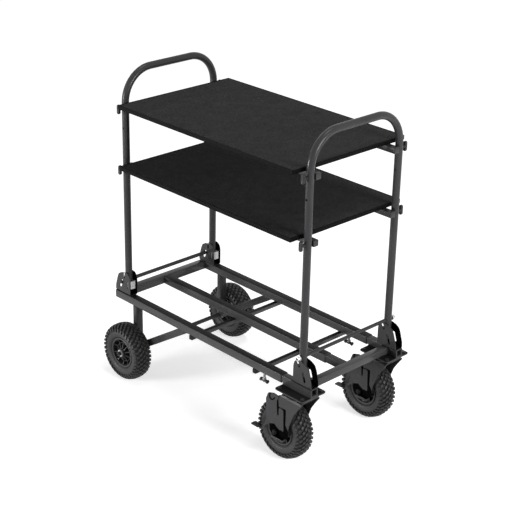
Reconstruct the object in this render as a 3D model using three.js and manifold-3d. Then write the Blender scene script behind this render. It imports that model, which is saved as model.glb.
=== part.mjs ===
// Camera cart: a telescoping wheeled base, two arched push handles and two carpeted shelves.
// Millimetres, +Z up, X along the cart, origin on the floor under the middle of the cart.
// The near side is -Y and the far side +Y. The fixed end is -X, the extending end is +X.
import * as THREE from 'three';
import { mergeVertices } from 'three/addons/utils/BufferGeometryUtils.js';
import Module from 'manifold-3d';

const wasm = await Module();
wasm.setup();

// Every hole and cut runs past its faces by this much
const overrun = 20;

// Base frame: outer tubes
const frameHalfLength = 583.5;
const frameHalfWidth = 256;
const outerTubeWidth = 35;
const outerTubeHeight = 36;
const outerTubeWall = 2;
const railTop = 354;
const railEndThickness = 3;
const exposedRail = 163.5;

// Base frame: inner tubes that slide in the outer ones
const slideGap = 0.5;
const innerTubeStart = 60;
const innerTubeWall = 2;
const innerCapInset = 2;
const innerCapLength = 8;
const endBeamInset = 44.5;

// Cross tubes slung under the rails
const crossTubeSide = 18;
const crossTubeWall = 2;
const crossTubeOverhang = 1;
const crossEndThickness = 3;
const rearCrossX = -97;
const frontCrossSetback = 143;
const drainRadius = 3;

// Fixed wheels with their legs, braces and axle
const wheelRadius = 124;
const wheelWidth = 80;
const wheelSideGap = 3;
const axleInset = 127;
const axleRadius = 7;
const turningGap = 0.3;
const legLength = 25;
const legWall = 2;
const braceSide = 30;
const braceSetback = 82;
const braceFootRise = 24;
const axleSleeveRadius = 9;
const axleCollarRadius = 12;
const axleNutRadius = 14;
const axleNutLength = 12;
const axleEndLength = 3;

// Wheel section
const rimRadius = 64;
const rimWall = 6;
const rimWidth = 62;
const hubRadius = 21;
const hubLength = 76;
const webThickness = 6;
const ribWidth = 48;
const spokeCount = 10;
const spokeWidthShare = 0.34;
const beadGap = 0.3;
const wheelSides = 28;
const roundSides = 12;
const holeSides = 8;

// Handles
const handleInset = 66.5;
const handleTubeRadius = 15;
const handleWall = 2;
const legLineInset = 20.4;
const handleTop = 1323;
const handleBend = 130;
const legFootRise = 64;
const tubeSides = 12;
const bendSteps = 6;
const boltRadius = 4;
const boltGap = 0.5;
const spareHoleBelowTop = 234;

// Hinge brackets: folded channels with slotted cheeks
const cheekThickness = 3;
const cheekGap = 35;
const bracketLength = 96;
const bracketHeight = 100;
const bracketFloor = 4;
const bracketReach = 31.5;
const lockSlotWidth = 11;
const lockSlotOut = 19.8;
const lockSlotRise = 56;
const lockSlotRun = 12;
const lockSlotDrop = 27;
const lockRestDrop = 6;
const guideSlotWidth = 7;
const guideSlotInset = 16.7;
const guideSlotLow = 33;
const guideSlotHigh = 58;
const topSlotWidth = 9;
const topSlotLow = 76;
const topSlotHigh = 91;
const topSlotOut = 6.5;
const spareSlotOut = 19;
const spareSlotRise = 53;
const spareSlotRun = 10;
const spareSlotDrop = 30;
const leanSlotOut = -1;
const leanSlotRun = 9;

// Cheek outline: out from its inner edge in shares of the length, up in shares of the height
const cheekShares = [
  [0, 0], [1, 0], [0.99, 0.26], [0.86, 0.67], [0.78, 0.83], [0.6, 0.93],
  [0.3, 1], [0.17, 0.98], [0.07, 0.9], [0.02, 0.8], [0, 0.68],
];

// Leg shoes that stand between the cheeks
const shoeHeight = 36;
const shoeSideGap = 0.3;
const shoeOuterReach = 15;
const shoeInnerReach = 31;
const shoeNoseShares = [[0, 1], [0.7, 0.8], [1, 0.4], [1, -0.4], [0.7, -0.8], [0, -1]];
const shoeNoseLength = 12;

// Lock bar in the slots of the fixed end, and tie rod through the legs of the other end
const lockBarRadius = 4.5;
const lockSleeveRadius = 8;
const lockSleeveGap = 3;
const barSideGap = 0.3;
const lockHeadRadius = 9;
const lockHeadLength = 6;
const tieRodRadius = 5;
const tieSleeveRadius = 7;
const tieRodRise = 10.5;
const tieNutRadius = 10.5;
const tieNutLength = 14;
const tieSpacerRadius = 7.5;

// Shelves: boards on rails, with sliders that run inside the rails
const shelfEndGap = 12.5;
const shelfOverhang = 60.4;
const shelfThickness = 17.5;
const shelfLipWidth = 4;
const shelfLipHeight = 2;
const topShelfBelowTop = 121;
const shelfSpacing = 256.5;
const shelfRailSide = 25;
const shelfRailWall = 2;
const shelfRailGap = 0.4;
const shelfRailOverhang = 6;
const shelfRailEndThickness = 3;
const sliderGap = 0.5;
const sliderLength = 300;
const sliderHeadGap = 0.3;

// Shelf knobs: a wing on a round collar
const knobCollarRadius = 8;
const knobCollarLength = 14;
const knobWingWidth = 15;
const knobWingHeight = 40;
const knobWingDepth = 11;
const knobGap = 0.3;

// Clamp screws for the inner rails
const clampSetback = 103.5;
const clampStemRadius = 4;
const clampNutRadius = 9;
const clampNutHeight = 6;
const clampWingLength = 42;
const clampWingWidth = 11;
const clampWingHeight = 9;
const clampDrop = 34;
const clampTipGap = 0.3;

// Caster brackets: a channel round the end of each inner rail, on a plate
const casterInset = 76.5;
const casterTrail = 71;
const casterPlateLength = 150;
const casterPlateWidth = 128;
const casterPlateThickness = 6;
const mountThickness = 3;
const mountTopGap = 0.5;
const mountSlopeRun = 43;
const mountBeamGap = 0.3;
const plateBoltRadius = 4;
const plateBoltHeadRadius = 8;
const plateBoltHeadHeight = 5;
const plateBoltInset = 15;

// Caster forks
const raceRadius = 58;
const raceSink = 2;
const raceHeight = 16;
const raceGap = 0.3;
const crownThickness = 9;
const forkGap = 6;
const forkThickness = 5;

// Fork cheek outline: along from the swivel axis in shares of the trail, up in shares of the fork height
const forkShares = [
  [-0.72, 1], [0.78, 1], [0.78, 0.94], [0.45, 0.75], [0.22, 0.6], [-0.05, 0.3], [-0.11, 0.2],
  [-0.1, 0.03], [-0.6, -0.08], [-0.85, -0.15], [-1.15, -0.15], [-1.33, -0.03], [-1.36, 0.3], [-1.2, 0.72],
];

// Brake rockers: a plate outside one cheek, with a lock pedal and a release pedal, in the same shares
const rockerShares = [
  [-1.8, 0.73], [-1.74, 0.24], [-1.86, 0.06], [-2.12, -0.058], [-2.4, -0.058], [-2.4, -0.079],
  [-2.14, -0.079], [-1.53, 0.12], [-1.1, 0.19], [-0.97, 0.15], [-0.65, 0.08], [-0.6, -0.097],
  [-0.22, -0.097], [-0.24, 0.02], [-0.41, 0.11], [-0.46, 0.64], [-0.64, 0.66], [-0.84, 0.64],
  [-0.84, 0.46], [-0.88, 0.46], [-0.91, 0.69], [-0.96, 0.8], [-0.79, 0.94], [-1.17, 0.96], [-1.63, 0.9],
];
const rockerGap = 0.4;
const rockerThickness = 4;
const rockerPinShares = [-1.05, 0.42];
const rockerPinRadius = 5;
const pedalThickness = 4;
const lockPedalReach = [42.4, 70];
const lockPedalShares = [-2.75, -2.12];
const lockPedalLevelShare = -0.08;
const freePedalReach = 75.4;
const freePedalShares = [-1.08, -0.2];
const freePedalLevelShare = -0.098;
const casterNutRadius = 12;
const casterNutLength = 9;

// Tyre outline: out from the bead in shares of the wall, across in shares of the width
const tyreShares = [
  [0, 0.3], [0.1, 0.39], [0.5, 0.5], [0.8, 0.49], [0.96, 0.38], [1, 0.2],
];

// Places and sizes that follow from the ones above
const railBottom = railTop - outerTubeHeight;
const railMiddleZ = railTop - outerTubeHeight / 2;
const railY = frameHalfWidth - outerTubeWidth / 2;
const outerTubeEnd = frameHalfLength - exposedRail;
const cavityWidth = outerTubeWidth - 2 * outerTubeWall;
const cavityHeight = outerTubeHeight - 2 * outerTubeWall;
const innerTubeWidth = cavityWidth - 2 * slideGap;
const innerTubeHeight = cavityHeight - 2 * slideGap;
const innerTop = railMiddleZ + innerTubeHeight / 2;
const innerBottom = railMiddleZ - innerTubeHeight / 2;
const endBeamX = frameHalfLength - endBeamInset;
const frontCrossX = outerTubeEnd - frontCrossSetback;
const clampX = outerTubeEnd - clampSetback;
const fixedAxleX = axleInset - frameHalfLength;
const wheelY = frameHalfWidth + wheelSideGap + wheelWidth / 2;
const handleX = frameHalfLength - handleInset;
const legY = frameHalfWidth - legLineInset;
const legFoot = railTop + legFootRise;
const bendStart = handleTop - handleBend;
const bracketInnerX = handleX - bracketReach;
const bracketWidth = cheekGap + 2 * cheekThickness;
const lockBarX = handleX + lockSlotOut + lockSlotRun * (lockRestDrop / lockSlotDrop);
const lockBarZ = railTop + lockSlotRise - lockRestDrop;
const tieRodZ = innerTop + bracketHeight + tieRodRise;
const shelfHalfLength = handleX - handleTubeRadius - shelfEndGap;
const shelfHalfWidth = legY + shelfOverhang;
const shelfRailY = legY - handleTubeRadius - shelfRailGap - shelfRailSide / 2;
const shelfRailEnd = handleX + handleTubeRadius;
const sliderHeadX = shelfHalfLength + shelfRailOverhang;
const topShelfTop = handleTop - topShelfBelowTop;
const lowerShelfTop = topShelfTop - shelfSpacing;
const spareHoleZ = handleTop - spareHoleBelowTop;
const topShelfRailZ = topShelfTop - shelfThickness - shelfRailSide / 2;
const lowerShelfRailZ = lowerShelfTop - shelfThickness - shelfRailSide / 2;
const casterX = frameHalfLength - casterInset;
const casterPlateTop = innerBottom - mountThickness;
const casterPlateBottom = casterPlateTop - casterPlateThickness;
const crownTop = casterPlateBottom - raceGap - raceHeight;
const forkHeight = crownTop - wheelRadius;
const forkInner = wheelWidth / 2 + forkGap;
const forkOuter = forkInner + forkThickness;

// Colours and finishes
const blackSteel = { color: 0x1b1b1c, roughness: 0.42, metalness: 0.55 };
const darkSteel = { color: 0x101011, roughness: 0.55, metalness: 0.4 };
const zinc = { color: 0xa9abad, roughness: 0.3, metalness: 0.9 };
const rubber = { color: 0x141414, roughness: 0.9, metalness: 0 };
const plastic = { color: 0x0d0d0e, roughness: 0.6, metalness: 0 };
const carpet = { color: 0x121213, roughness: 0.98, metalness: 0 };

const cart = new THREE.Group();
cart.name = 'camera_cart';

// Booleans on closed geometry
const toManifold = (geometry) => {
  const bare = geometry.clone();
  bare.deleteAttribute('normal');
  bare.deleteAttribute('uv');
  const merged = mergeVertices(bare, 0.001);
  const mesh = new wasm.Mesh({
    numProp: 3,
    vertProperties: new Float32Array(merged.attributes.position.array),
    triVerts: new Uint32Array(merged.index.array),
  });
  return new wasm.Manifold(mesh);
};
const fromManifold = (solid) => {
  const mesh = solid.getMesh();
  const geometry = new THREE.BufferGeometry();
  geometry.setAttribute('position', new THREE.BufferAttribute(new Float32Array(mesh.vertProperties), 3));
  geometry.setIndex(new THREE.BufferAttribute(new Uint32Array(mesh.triVerts), 1));
  return geometry;
};
const fuse = (pieces) => fromManifold(pieces.map(toManifold).reduce((whole, next) => whole.add(next)));
const cut = (body, tools) => {
  const whole = toManifold(body);
  return fromManifold(tools.map(toManifold).reduce((rest, tool) => rest.subtract(tool), whole));
};

// Adds one named piece to the cart
const add = (name, geometry, look, place = [0, 0, 0]) => {
  const faceted = geometry.index ? geometry.toNonIndexed() : geometry.clone();
  faceted.computeVertexNormals();
  const mesh = new THREE.Mesh(faceted, new THREE.MeshStandardMaterial(look));
  mesh.name = name;
  mesh.position.set(place[0], place[1], place[2]);
  cart.add(mesh);
};

// Spans, boxes and outlines
const centred = (middle, size) => [middle - size / 2, middle + size / 2];
const sorted = (first, second) => [Math.min(first, second), Math.max(first, second)];
const grown = (span, by) => [span[0] + by, span[1] - by];
const block = (x, y, z) => {
  const geometry = new THREE.BoxGeometry(x[1] - x[0], y[1] - y[0], z[1] - z[0]);
  return geometry.translate((x[0] + x[1]) / 2, (y[0] + y[1]) / 2, (z[0] + z[1]) / 2);
};
const outline = (points) => new THREE.Shape(points.map(([across, up]) => new THREE.Vector2(across, up)));
const ring = (radius, sides) => {
  const points = [];
  for (let step = 0; step < sides; step += 1) {
    const angle = (step / sides) * Math.PI * 2;
    points.push([radius * Math.cos(angle), radius * Math.sin(angle)]);
  }
  return points;
};
const stadium = (from, to, width) => {
  const heading = Math.atan2(to[1] - from[1], to[0] - from[0]);
  const steps = 6;
  const points = [];
  for (const [end, turn] of [[to, -0.5], [from, 0.5]]) {
    for (let step = 0; step <= steps; step += 1) {
      const angle = heading + Math.PI * (turn + step / steps);
      points.push([end[0] + (width / 2) * Math.cos(angle), end[1] + (width / 2) * Math.sin(angle)]);
    }
  }
  return outline(points);
};

// An outline in X and Z given depth along Y, and one in X and Y given height along Z
const alongY = (shape, span) => {
  const geometry = new THREE.ExtrudeGeometry(shape, { depth: span[1] - span[0], bevelEnabled: false });
  return geometry.rotateX(Math.PI / 2).translate(0, span[1], 0);
};
const alongZ = (shape, span) => {
  const geometry = new THREE.ExtrudeGeometry(shape, { depth: span[1] - span[0], bevelEnabled: false });
  return geometry.translate(0, 0, span[0]);
};

// Round rods along Y and Z, and a turned profile of radius and place along Y
const rodY = (x, z, radius, span, sides = roundSides) => {
  const rod = new THREE.CylinderGeometry(radius, radius, span[1] - span[0], sides);
  return rod.translate(x, (span[0] + span[1]) / 2, z);
};
const rodZ = (x, y, radius, span, sides = roundSides) => {
  const rod = new THREE.CylinderGeometry(radius, radius, span[1] - span[0], sides);
  return rod.rotateX(Math.PI / 2).translate(x, y, (span[0] + span[1]) / 2);
};
const turned = (profile, sides) => {
  const points = profile.map(([radius, along]) => new THREE.Vector2(radius, along));
  return new THREE.LatheGeometry(points, sides);
};
const turnedRing = (inner, outer, length, sides) => turned([
  [inner, -length / 2], [outer, -length / 2], [outer, length / 2], [inner, length / 2], [inner, -length / 2],
], sides);
const sides = [['near', -1], ['far', 1]];

// Outer rails, closed at the fixed end, with a welded nut and a hole for each clamp screw
const railTube = (y, x, cavityX) => cut(
  block(x, centred(y, outerTubeWidth), [railBottom, railTop]),
  [block(cavityX, centred(y, cavityWidth), centred(railMiddleZ, cavityHeight))],
);
const openEnd = outerTubeEnd + overrun;
for (const [name, side] of sides) {
  const y = side * railY;
  const start = -frameHalfLength;
  const tube = railTube(y, [start, outerTubeEnd], [start + railEndThickness, openEnd]);
  const nut = rodZ(clampX, y, clampNutRadius, [railBottom - clampNutHeight, railBottom + outerTubeWall], 6);
  const hole = rodZ(clampX, y, clampStemRadius + boltGap, [railBottom - overrun, railMiddleZ]);
  add(`outer_rail_${name}`, cut(fuse([tube, nut]), [hole]), blackSteel);
}
const beamFace = outerTubeWidth - frameHalfLength;
add('outer_rail_centre', railTube(0, [beamFace, outerTubeEnd], [beamFace - overrun, openEnd]), blackSteel);

// Beam across the fixed end, between the outer rails
const beamY = frameHalfWidth - outerTubeWidth;
add('fixed_end_beam', cut(
  block([-frameHalfLength, beamFace], [-beamY, beamY], [railBottom, railTop]),
  [block(
    grown([-frameHalfLength, beamFace], outerTubeWall),
    [-beamY - overrun, beamY + overrun],
    centred(railMiddleZ, cavityHeight),
  )],
), blackSteel);

// Cross tubes with closed ends and a drain hole
const crossHalf = frameHalfWidth + crossTubeOverhang;
for (const [name, x] of [['rear_cross_tube', rearCrossX], ['front_cross_tube', frontCrossX]]) {
  const depth = [railBottom - crossTubeSide, railBottom];
  add(name, cut(block(centred(x, crossTubeSide), [-crossHalf, crossHalf], depth), [
    block(
      grown(centred(x, crossTubeSide), crossTubeWall),
      grown([-crossHalf, crossHalf], crossEndThickness),
      grown(depth, crossTubeWall),
    ),
    rodZ(x, 0, drainRadius, [depth[0] - overrun, depth[0] + crossTubeSide / 2]),
  ]), blackSteel);
}

// Wheel legs: a post down to the axle, with a slanted brace up to the rail
const postFoot = wheelRadius - legLength / 2;
const braceFootX = fixedAxleX + legLength / 2;
const braceTopX = rearCrossX - braceSetback;
const braceFootZ = wheelRadius + braceFootRise;
const braceAngle = Math.atan2(railBottom - braceFootZ, braceTopX - braceFootX);
const braceBack = legWall / 2;
for (const [name, side] of sides) {
  const y = side * railY;
  const post = block(centred(fixedAxleX, legLength), centred(y, outerTubeWidth), [postFoot, railBottom]);
  const bore = block(
    grown(centred(fixedAxleX, legLength), legWall),
    grown(centred(y, outerTubeWidth), legWall),
    [postFoot + legWall, railBottom + overrun],
  );
  const axleHole = rodY(
    fixedAxleX, wheelRadius, axleRadius + turningGap, centred(y, outerTubeWidth + 2 * overrun),
  );
  const braceShape = outline([
    [braceFootX - braceBack, braceFootZ - braceBack * Math.tan(braceAngle)],
    [braceFootX - braceBack, braceFootZ - braceBack * Math.tan(braceAngle) - braceSide / Math.cos(braceAngle)],
    [braceTopX + braceSide / Math.sin(braceAngle), railBottom],
    [braceTopX, railBottom],
  ]);
  const brace = alongY(braceShape, centred(y, braceSide));
  add(`wheel_leg_${name}`, fuse([cut(post, [bore, axleHole]), brace]), blackSteel);
}

// The fixed axle with its sleeve between the legs, its collars and end nuts
const hubSeat = wheelY - hubLength / 2 - turningGap;
const nutSeat = wheelY + hubLength / 2 + turningGap;
const axleHalf = nutSeat + axleNutLength + axleEndLength;
const axleSleeveHalf = railY - outerTubeWidth / 2 - turningGap;
const axlePieces = [
  rodY(fixedAxleX, wheelRadius, axleRadius, [-axleHalf, axleHalf]),
  rodY(fixedAxleX, wheelRadius, axleSleeveRadius, [-axleSleeveHalf, axleSleeveHalf]),
];
for (const [, side] of sides) {
  const collar = sorted(side * (frameHalfWidth + turningGap), side * hubSeat);
  const nut = sorted(side * nutSeat, side * (nutSeat + axleNutLength));
  axlePieces.push(rodY(fixedAxleX, wheelRadius, axleCollarRadius, collar));
  axlePieces.push(rodY(fixedAxleX, wheelRadius, axleNutRadius, nut, 6));
}
add('fixed_axle', fuse(axlePieces), zinc);

// Wheels: a tyre on a ribbed rim with a closed web, with a flat of the tyre on the floor
const makeTyre = () => {
  const bead = rimRadius + beadGap;
  const wall = wheelRadius / Math.cos(Math.PI / wheelSides) - bead;
  const upper = tyreShares.map(([out, across]) => [bead + out * wall, across * wheelWidth]).reverse();
  const lower = tyreShares.map(([out, across]) => [bead + out * wall, -across * wheelWidth]);
  return turned([...lower, ...upper, lower[0]], wheelSides).rotateY(Math.PI / wheelSides);
};
const makeRim = () => {
  const band = turnedRing(rimRadius - rimWall, rimRadius, rimWidth, wheelSides).rotateY(Math.PI / wheelSides);
  const hub = turnedRing(axleRadius + turningGap, hubRadius, hubLength, roundSides);
  const web = outline(ring(rimRadius - rimWall / 2, wheelSides));
  web.holes.push(outline(ring((axleRadius + hubRadius) / 2, roundSides)));
  const pitch = (Math.PI * 2) / spokeCount;
  const inner = hubRadius + rimWall / 2;
  const outer = rimRadius - rimWall;
  for (let spoke = 0; spoke < spokeCount; spoke += 1) {
    const from = (spoke + spokeWidthShare / 2) * pitch;
    const to = (spoke + 1 - spokeWidthShare / 2) * pitch;
    const middle = (from + to) / 2;
    web.holes.push(outline([
      [inner * Math.cos(middle), inner * Math.sin(middle)],
      [outer * Math.cos(from), outer * Math.sin(from)],
      [outer * Math.cos(middle), outer * Math.sin(middle)],
      [outer * Math.cos(to), outer * Math.sin(to)],
    ]));
  }
  const disc = outline(ring(rimRadius - rimWall / 2, wheelSides));
  disc.holes.push(outline(ring((axleRadius + hubRadius) / 2, roundSides)));
  const ribs = alongY(web, centred(0, ribWidth));
  return fuse([band, hub, ribs, alongY(disc, centred(0, webThickness))]);
};
const tyre = makeTyre();
const rim = makeRim();
for (const [name, side] of sides) {
  for (const [wheel, x, y] of [
    [`fixed_wheel_${name}`, fixedAxleX, side * wheelY],
    [`caster_wheel_${name}`, casterX - casterTrail, side * legY],
  ]) {
    add(`${wheel}_tyre`, tyre, rubber, [x, y, wheelRadius]);
    add(`${wheel}_rim`, rim, plastic, [x, y, wheelRadius]);
  }
}

// Hinge brackets at the four corners, each a channel cut to the cheek outline
const makeBracket = (floorZ, slots) => {
  const cheek = cheekShares.map(([out, up]) => [
    bracketInnerX + out * bracketLength, floorZ + up * bracketHeight,
  ]);
  const plate = alongY(outline(cheek), centred(0, bracketWidth));
  const between = block(
    centred(bracketInnerX + bracketLength / 2, bracketLength + 2 * overrun),
    centred(0, cheekGap),
    [floorZ + bracketFloor, floorZ + bracketHeight + overrun],
  );
  const cuts = slots.map(([from, to, width]) => alongY(
    stadium([from[0], floorZ + from[1]], [to[0], floorZ + to[1]], width),
    centred(0, bracketWidth + 2 * overrun),
  ));
  return cut(plate, [between, ...cuts]);
};
const guideSlotX = bracketInnerX + guideSlotInset;
const lockSlotX = handleX + lockSlotOut;
const fixedSlots = [
  [[lockSlotX, lockSlotRise], [lockSlotX + lockSlotRun, lockSlotRise - lockSlotDrop], lockSlotWidth],
  [[guideSlotX, guideSlotLow], [guideSlotX, guideSlotHigh], guideSlotWidth],
  [[handleX + topSlotOut, topSlotLow], [handleX + topSlotOut, topSlotHigh], topSlotWidth],
];
const spareSlotX = handleX + spareSlotOut;
const extSlots = [
  [[spareSlotX, spareSlotRise], [spareSlotX + spareSlotRun, spareSlotRise - spareSlotDrop], lockSlotWidth],
  [[handleX + leanSlotOut, topSlotLow], [handleX + leanSlotOut - leanSlotRun, topSlotHigh], topSlotWidth],
];
const fixedBracket = makeBracket(railTop, fixedSlots).rotateZ(Math.PI);
const extBracket = makeBracket(innerTop, extSlots);
for (const [name, side] of sides) {
  add(`fixed_hinge_${name}`, fixedBracket, blackSteel, [0, side * legY, 0]);
  add(`ext_hinge_${name}`, extBracket, blackSteel, [0, side * legY, 0]);
}

// Leg shoes with a rounded nose towards the middle of the cart
const makeShoe = (end) => {
  const half = cheekGap / 2 - shoeSideGap;
  const noseStart = shoeInnerReach - shoeNoseLength;
  const nose = shoeNoseShares.map(([along, across]) => [
    end * (handleX - noseStart - along * shoeNoseLength), across * half,
  ]);
  const outer = end * (handleX + shoeOuterReach);
  const points = [[outer, half], ...nose, [outer, -half]];
  return alongZ(outline(points), [legFoot - shoeHeight, legFoot]);
};
for (const [name, side] of sides) {
  add(`fixed_shoe_${name}`, makeShoe(-1), zinc, [0, side * legY, 0]);
  add(`ext_shoe_${name}`, makeShoe(1), zinc, [0, side * legY, 0]);
}

// Handles: one bent tube at each end, drilled for the shelf bolts
class Route extends THREE.Curve {
  constructor(points) {
    super();
    this.points = points;
  }

  getPointAt(share) {
    return this.points[Math.round(share * (this.points.length - 1))].clone();
  }

  getTangentAt(share) {
    const index = Math.round(share * (this.points.length - 1));
    const last = this.points.length - 1;
    const here = this.points[index];
    const away = this.points[Math.min(index + 1, last)].clone().sub(here).normalize();
    const before = here.clone().sub(this.points[Math.max(index - 1, 0)]).normalize();
    return away.add(before).normalize();
  }
}
const makeHandle = (end) => {
  const x = end * handleX;
  const half = [new THREE.Vector3(x, -legY, legFoot)];
  for (let step = 0; step <= bendSteps; step += 1) {
    const angle = (step / bendSteps) * (Math.PI / 2);
    half.push(new THREE.Vector3(
      x, handleBend - legY - handleBend * Math.cos(angle), bendStart + handleBend * Math.sin(angle),
    ));
  }
  const mirrored = half.map((point) => new THREE.Vector3(point.x, -point.y, point.z)).reverse();
  const route = new Route([...half, ...mirrored]);
  const section = outline(ring(handleTubeRadius, tubeSides));
  section.holes.push(outline(ring(handleTubeRadius - handleWall, tubeSides)));
  const tube = new THREE.ExtrudeGeometry(section, {
    steps: route.points.length - 1, extrudePath: route, bevelEnabled: false,
  });
  const drill = (z, radius) => rodY(x, z, radius, centred(0, 2 * (legY + overrun)), holeSides);
  const holes = [topShelfRailZ, lowerShelfRailZ, spareHoleZ].map((z) => drill(z, boltRadius + boltGap));
  const tieHoles = end > 0 ? [drill(tieRodZ, tieRodRadius + boltGap)] : [];
  return cut(tube, [...holes, ...tieHoles]);
};
add('fixed_handle', makeHandle(-1), blackSteel);
add('ext_handle', makeHandle(1), blackSteel);

// The lock bar with its sleeve and heads, and the tie rod with its sleeve, spacers and nuts
const cheekOuter = legY + bracketWidth / 2;
const makeBar = (x, z, radius, sleeve, ends) => {
  const reach = Math.max(...ends.map(([, span]) => span[1]));
  const pieces = [
    rodY(x, z, radius, [-reach, reach]),
    rodY(x, z, sleeve[0], [-sleeve[1], sleeve[1]]),
  ];
  for (const [, side] of sides) {
    for (const [size, span, facets] of ends) {
      pieces.push(rodY(x, z, size, sorted(side * span[0], side * span[1]), facets));
    }
  }
  return fuse(pieces);
};
const lockHeadSeat = cheekOuter + barSideGap;
const lockSleeve = [lockSleeveRadius, legY - bracketWidth / 2 - lockSleeveGap];
add('lock_bar', makeBar(-lockBarX, lockBarZ, lockBarRadius, lockSleeve, [
  [lockHeadRadius, [lockHeadSeat, lockHeadSeat + lockHeadLength], roundSides],
]), darkSteel);
const tieSeat = legY + handleTubeRadius + barSideGap;
const tieSleeve = [tieSleeveRadius, legY - handleTubeRadius - barSideGap];
add('tie_rod', makeBar(handleX, tieRodZ, tieRodRadius, tieSleeve, [
  [tieSpacerRadius, [tieSeat, cheekOuter], roundSides],
  [tieNutRadius, [cheekOuter, cheekOuter + tieNutLength], 6],
]), darkSteel);

// Shelf boards with a raised edge, their rails, and the sliders that run in the rails
const boltHole = (x, side, z) => rodY(
  x, z, boltRadius + boltGap, centred(side * shelfRailY, shelfRailSide + 2 * overrun), holeSides,
);
for (const [shelf, top, z] of [
  ['top_shelf', topShelfTop, topShelfRailZ],
  ['lower_shelf', lowerShelfTop, lowerShelfRailZ],
]) {
  const length = [-shelfHalfLength, shelfHalfLength];
  const width = [-shelfHalfWidth, shelfHalfWidth];
  add(`${shelf}_board`, cut(block(length, width, [top - shelfThickness, top]), [block(
    grown(length, shelfLipWidth), grown(width, shelfLipWidth), [top - shelfLipHeight, top + overrun],
  )]), carpet);
  for (const [name, side] of sides) {
    const y = side * shelfRailY;
    const outside = [centred(y, shelfRailSide), centred(z, shelfRailSide)];
    const cavity = outside.map((span) => grown(span, shelfRailWall));
    const slider = cavity.map((span) => grown(span, sliderGap));
    const start = -shelfRailEnd;
    add(`${shelf}_rail_${name}`, cut(block([start, sliderHeadX], ...outside), [
      block([start + shelfRailEndThickness, sliderHeadX + overrun], ...cavity),
      boltHole(-handleX, side, z),
    ]), blackSteel);
    const headStart = sliderHeadX + sliderHeadGap;
    add(`${shelf}_slider_${name}`, cut(fuse([
      block([headStart, shelfRailEnd], ...outside),
      block([headStart - sliderLength, shelfRailEnd - shelfRailWall], ...slider),
    ]), [boltHole(handleX, side, z)]), blackSteel);
  }
}

// Wing knobs on bolts through the legs and the shelf rails
const knobSeat = legY + handleTubeRadius + knobGap;
const knobBack = knobSeat + knobCollarLength;
const knobMiddle = knobBack + knobWingDepth / 2;
const knobStem = turned([
  [0, shelfRailY - shelfRailSide / 2],
  [boltRadius, shelfRailY - shelfRailSide / 2],
  [boltRadius, knobSeat],
  [knobCollarRadius, knobSeat],
  [knobCollarRadius, knobMiddle],
  [0, knobMiddle],
], roundSides);
const knobReach = (knobWingHeight - knobWingWidth) / 2;
const knobWing = alongY(
  stadium([0, -knobReach], [0, knobReach], knobWingWidth),
  [knobBack, knobBack + knobWingDepth],
);
const knob = fuse([knobStem, knobWing]);
const knobNear = knob.clone().rotateX(Math.PI);
for (const [end, x] of [['fixed', -handleX], ['ext', handleX]]) {
  for (const [shelf, z] of [['top', topShelfRailZ], ['lower', lowerShelfRailZ]]) {
    add(`${end}_${shelf}_knob_near`, knobNear, plastic, [x, 0, z]);
    add(`${end}_${shelf}_knob_far`, knob, plastic, [x, 0, z]);
  }
}

// Inner rails: open inside the outer ones, capped at the outer ends
const innerTube = (y, end, cuts) => cut(
  block([innerTubeStart, end], centred(y, innerTubeWidth), [innerBottom, innerTop]),
  cuts.map((x) => block(
    x,
    grown(centred(y, innerTubeWidth), innerTubeWall),
    grown([innerBottom, innerTop], innerTubeWall),
  )),
);
const capFace = frameHalfLength - innerCapInset;
for (const [name, side] of sides) {
  add(`inner_rail_${name}`, innerTube(side * railY, frameHalfLength, [
    [innerTubeStart - overrun, capFace - innerCapLength],
    [capFace, frameHalfLength + overrun],
  ]), blackSteel);
}
const beamBack = endBeamX - innerTubeWidth;
add('inner_rail_centre', innerTube(0, beamBack, [[innerTubeStart - overrun, beamBack + overrun]]), blackSteel);

// Beam across the extending end, between the inner rails
const innerFaceY = railY - innerTubeWidth / 2;
add('ext_end_beam', cut(
  block([beamBack, endBeamX], [-innerFaceY, innerFaceY], [innerBottom, innerTop]),
  [block(
    grown([beamBack, endBeamX], innerTubeWall),
    [-innerFaceY - overrun, innerFaceY + overrun],
    grown([innerBottom, innerTop], innerTubeWall),
  )],
), blackSteel);

// Caster brackets: a channel round the rail end on a plate, with four bolts
const mountStart = casterX - casterPlateLength / 2;
const flangeTop = innerTop - mountTopGap;
const makeMount = (side) => {
  const middle = side * railY;
  const outerFace = middle + side * (innerTubeWidth / 2);
  const innerFace = middle - side * (innerTubeWidth / 2);
  const floor = block(
    [mountStart, frameHalfLength],
    centred(middle, innerTubeWidth + 2 * mountThickness),
    [casterPlateTop, innerBottom],
  );
  const outerFlange = alongY(outline([
    [mountStart, casterPlateTop],
    [frameHalfLength, casterPlateTop],
    [frameHalfLength, flangeTop],
    [mountStart + mountSlopeRun, flangeTop],
    [mountStart, innerBottom],
  ]), sorted(outerFace, outerFace + side * mountThickness));
  const innerFlange = block(
    [endBeamX + mountBeamGap, frameHalfLength],
    sorted(innerFace, innerFace - side * mountThickness),
    [casterPlateTop, flangeTop],
  );
  const plate = block(
    centred(casterX, casterPlateLength),
    centred(side * legY, casterPlateWidth),
    [casterPlateBottom, casterPlateTop],
  );
  const pieces = [floor, outerFlange, innerFlange, plate];
  for (const along of [-1, 1]) {
    for (const across of [-1, 1]) {
      const x = casterX + along * (casterPlateLength / 2 - plateBoltInset);
      const y = side * legY + across * (casterPlateWidth / 2 - plateBoltInset);
      const head = [casterPlateBottom, casterPlateTop + plateBoltHeadHeight];
      const shank = [casterPlateBottom - plateBoltHeadHeight, casterPlateTop];
      pieces.push(rodZ(x, y, plateBoltHeadRadius, head, 6));
      pieces.push(rodZ(x, y, plateBoltRadius, shank, holeSides));
    }
  }
  return fuse(pieces);
};
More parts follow.
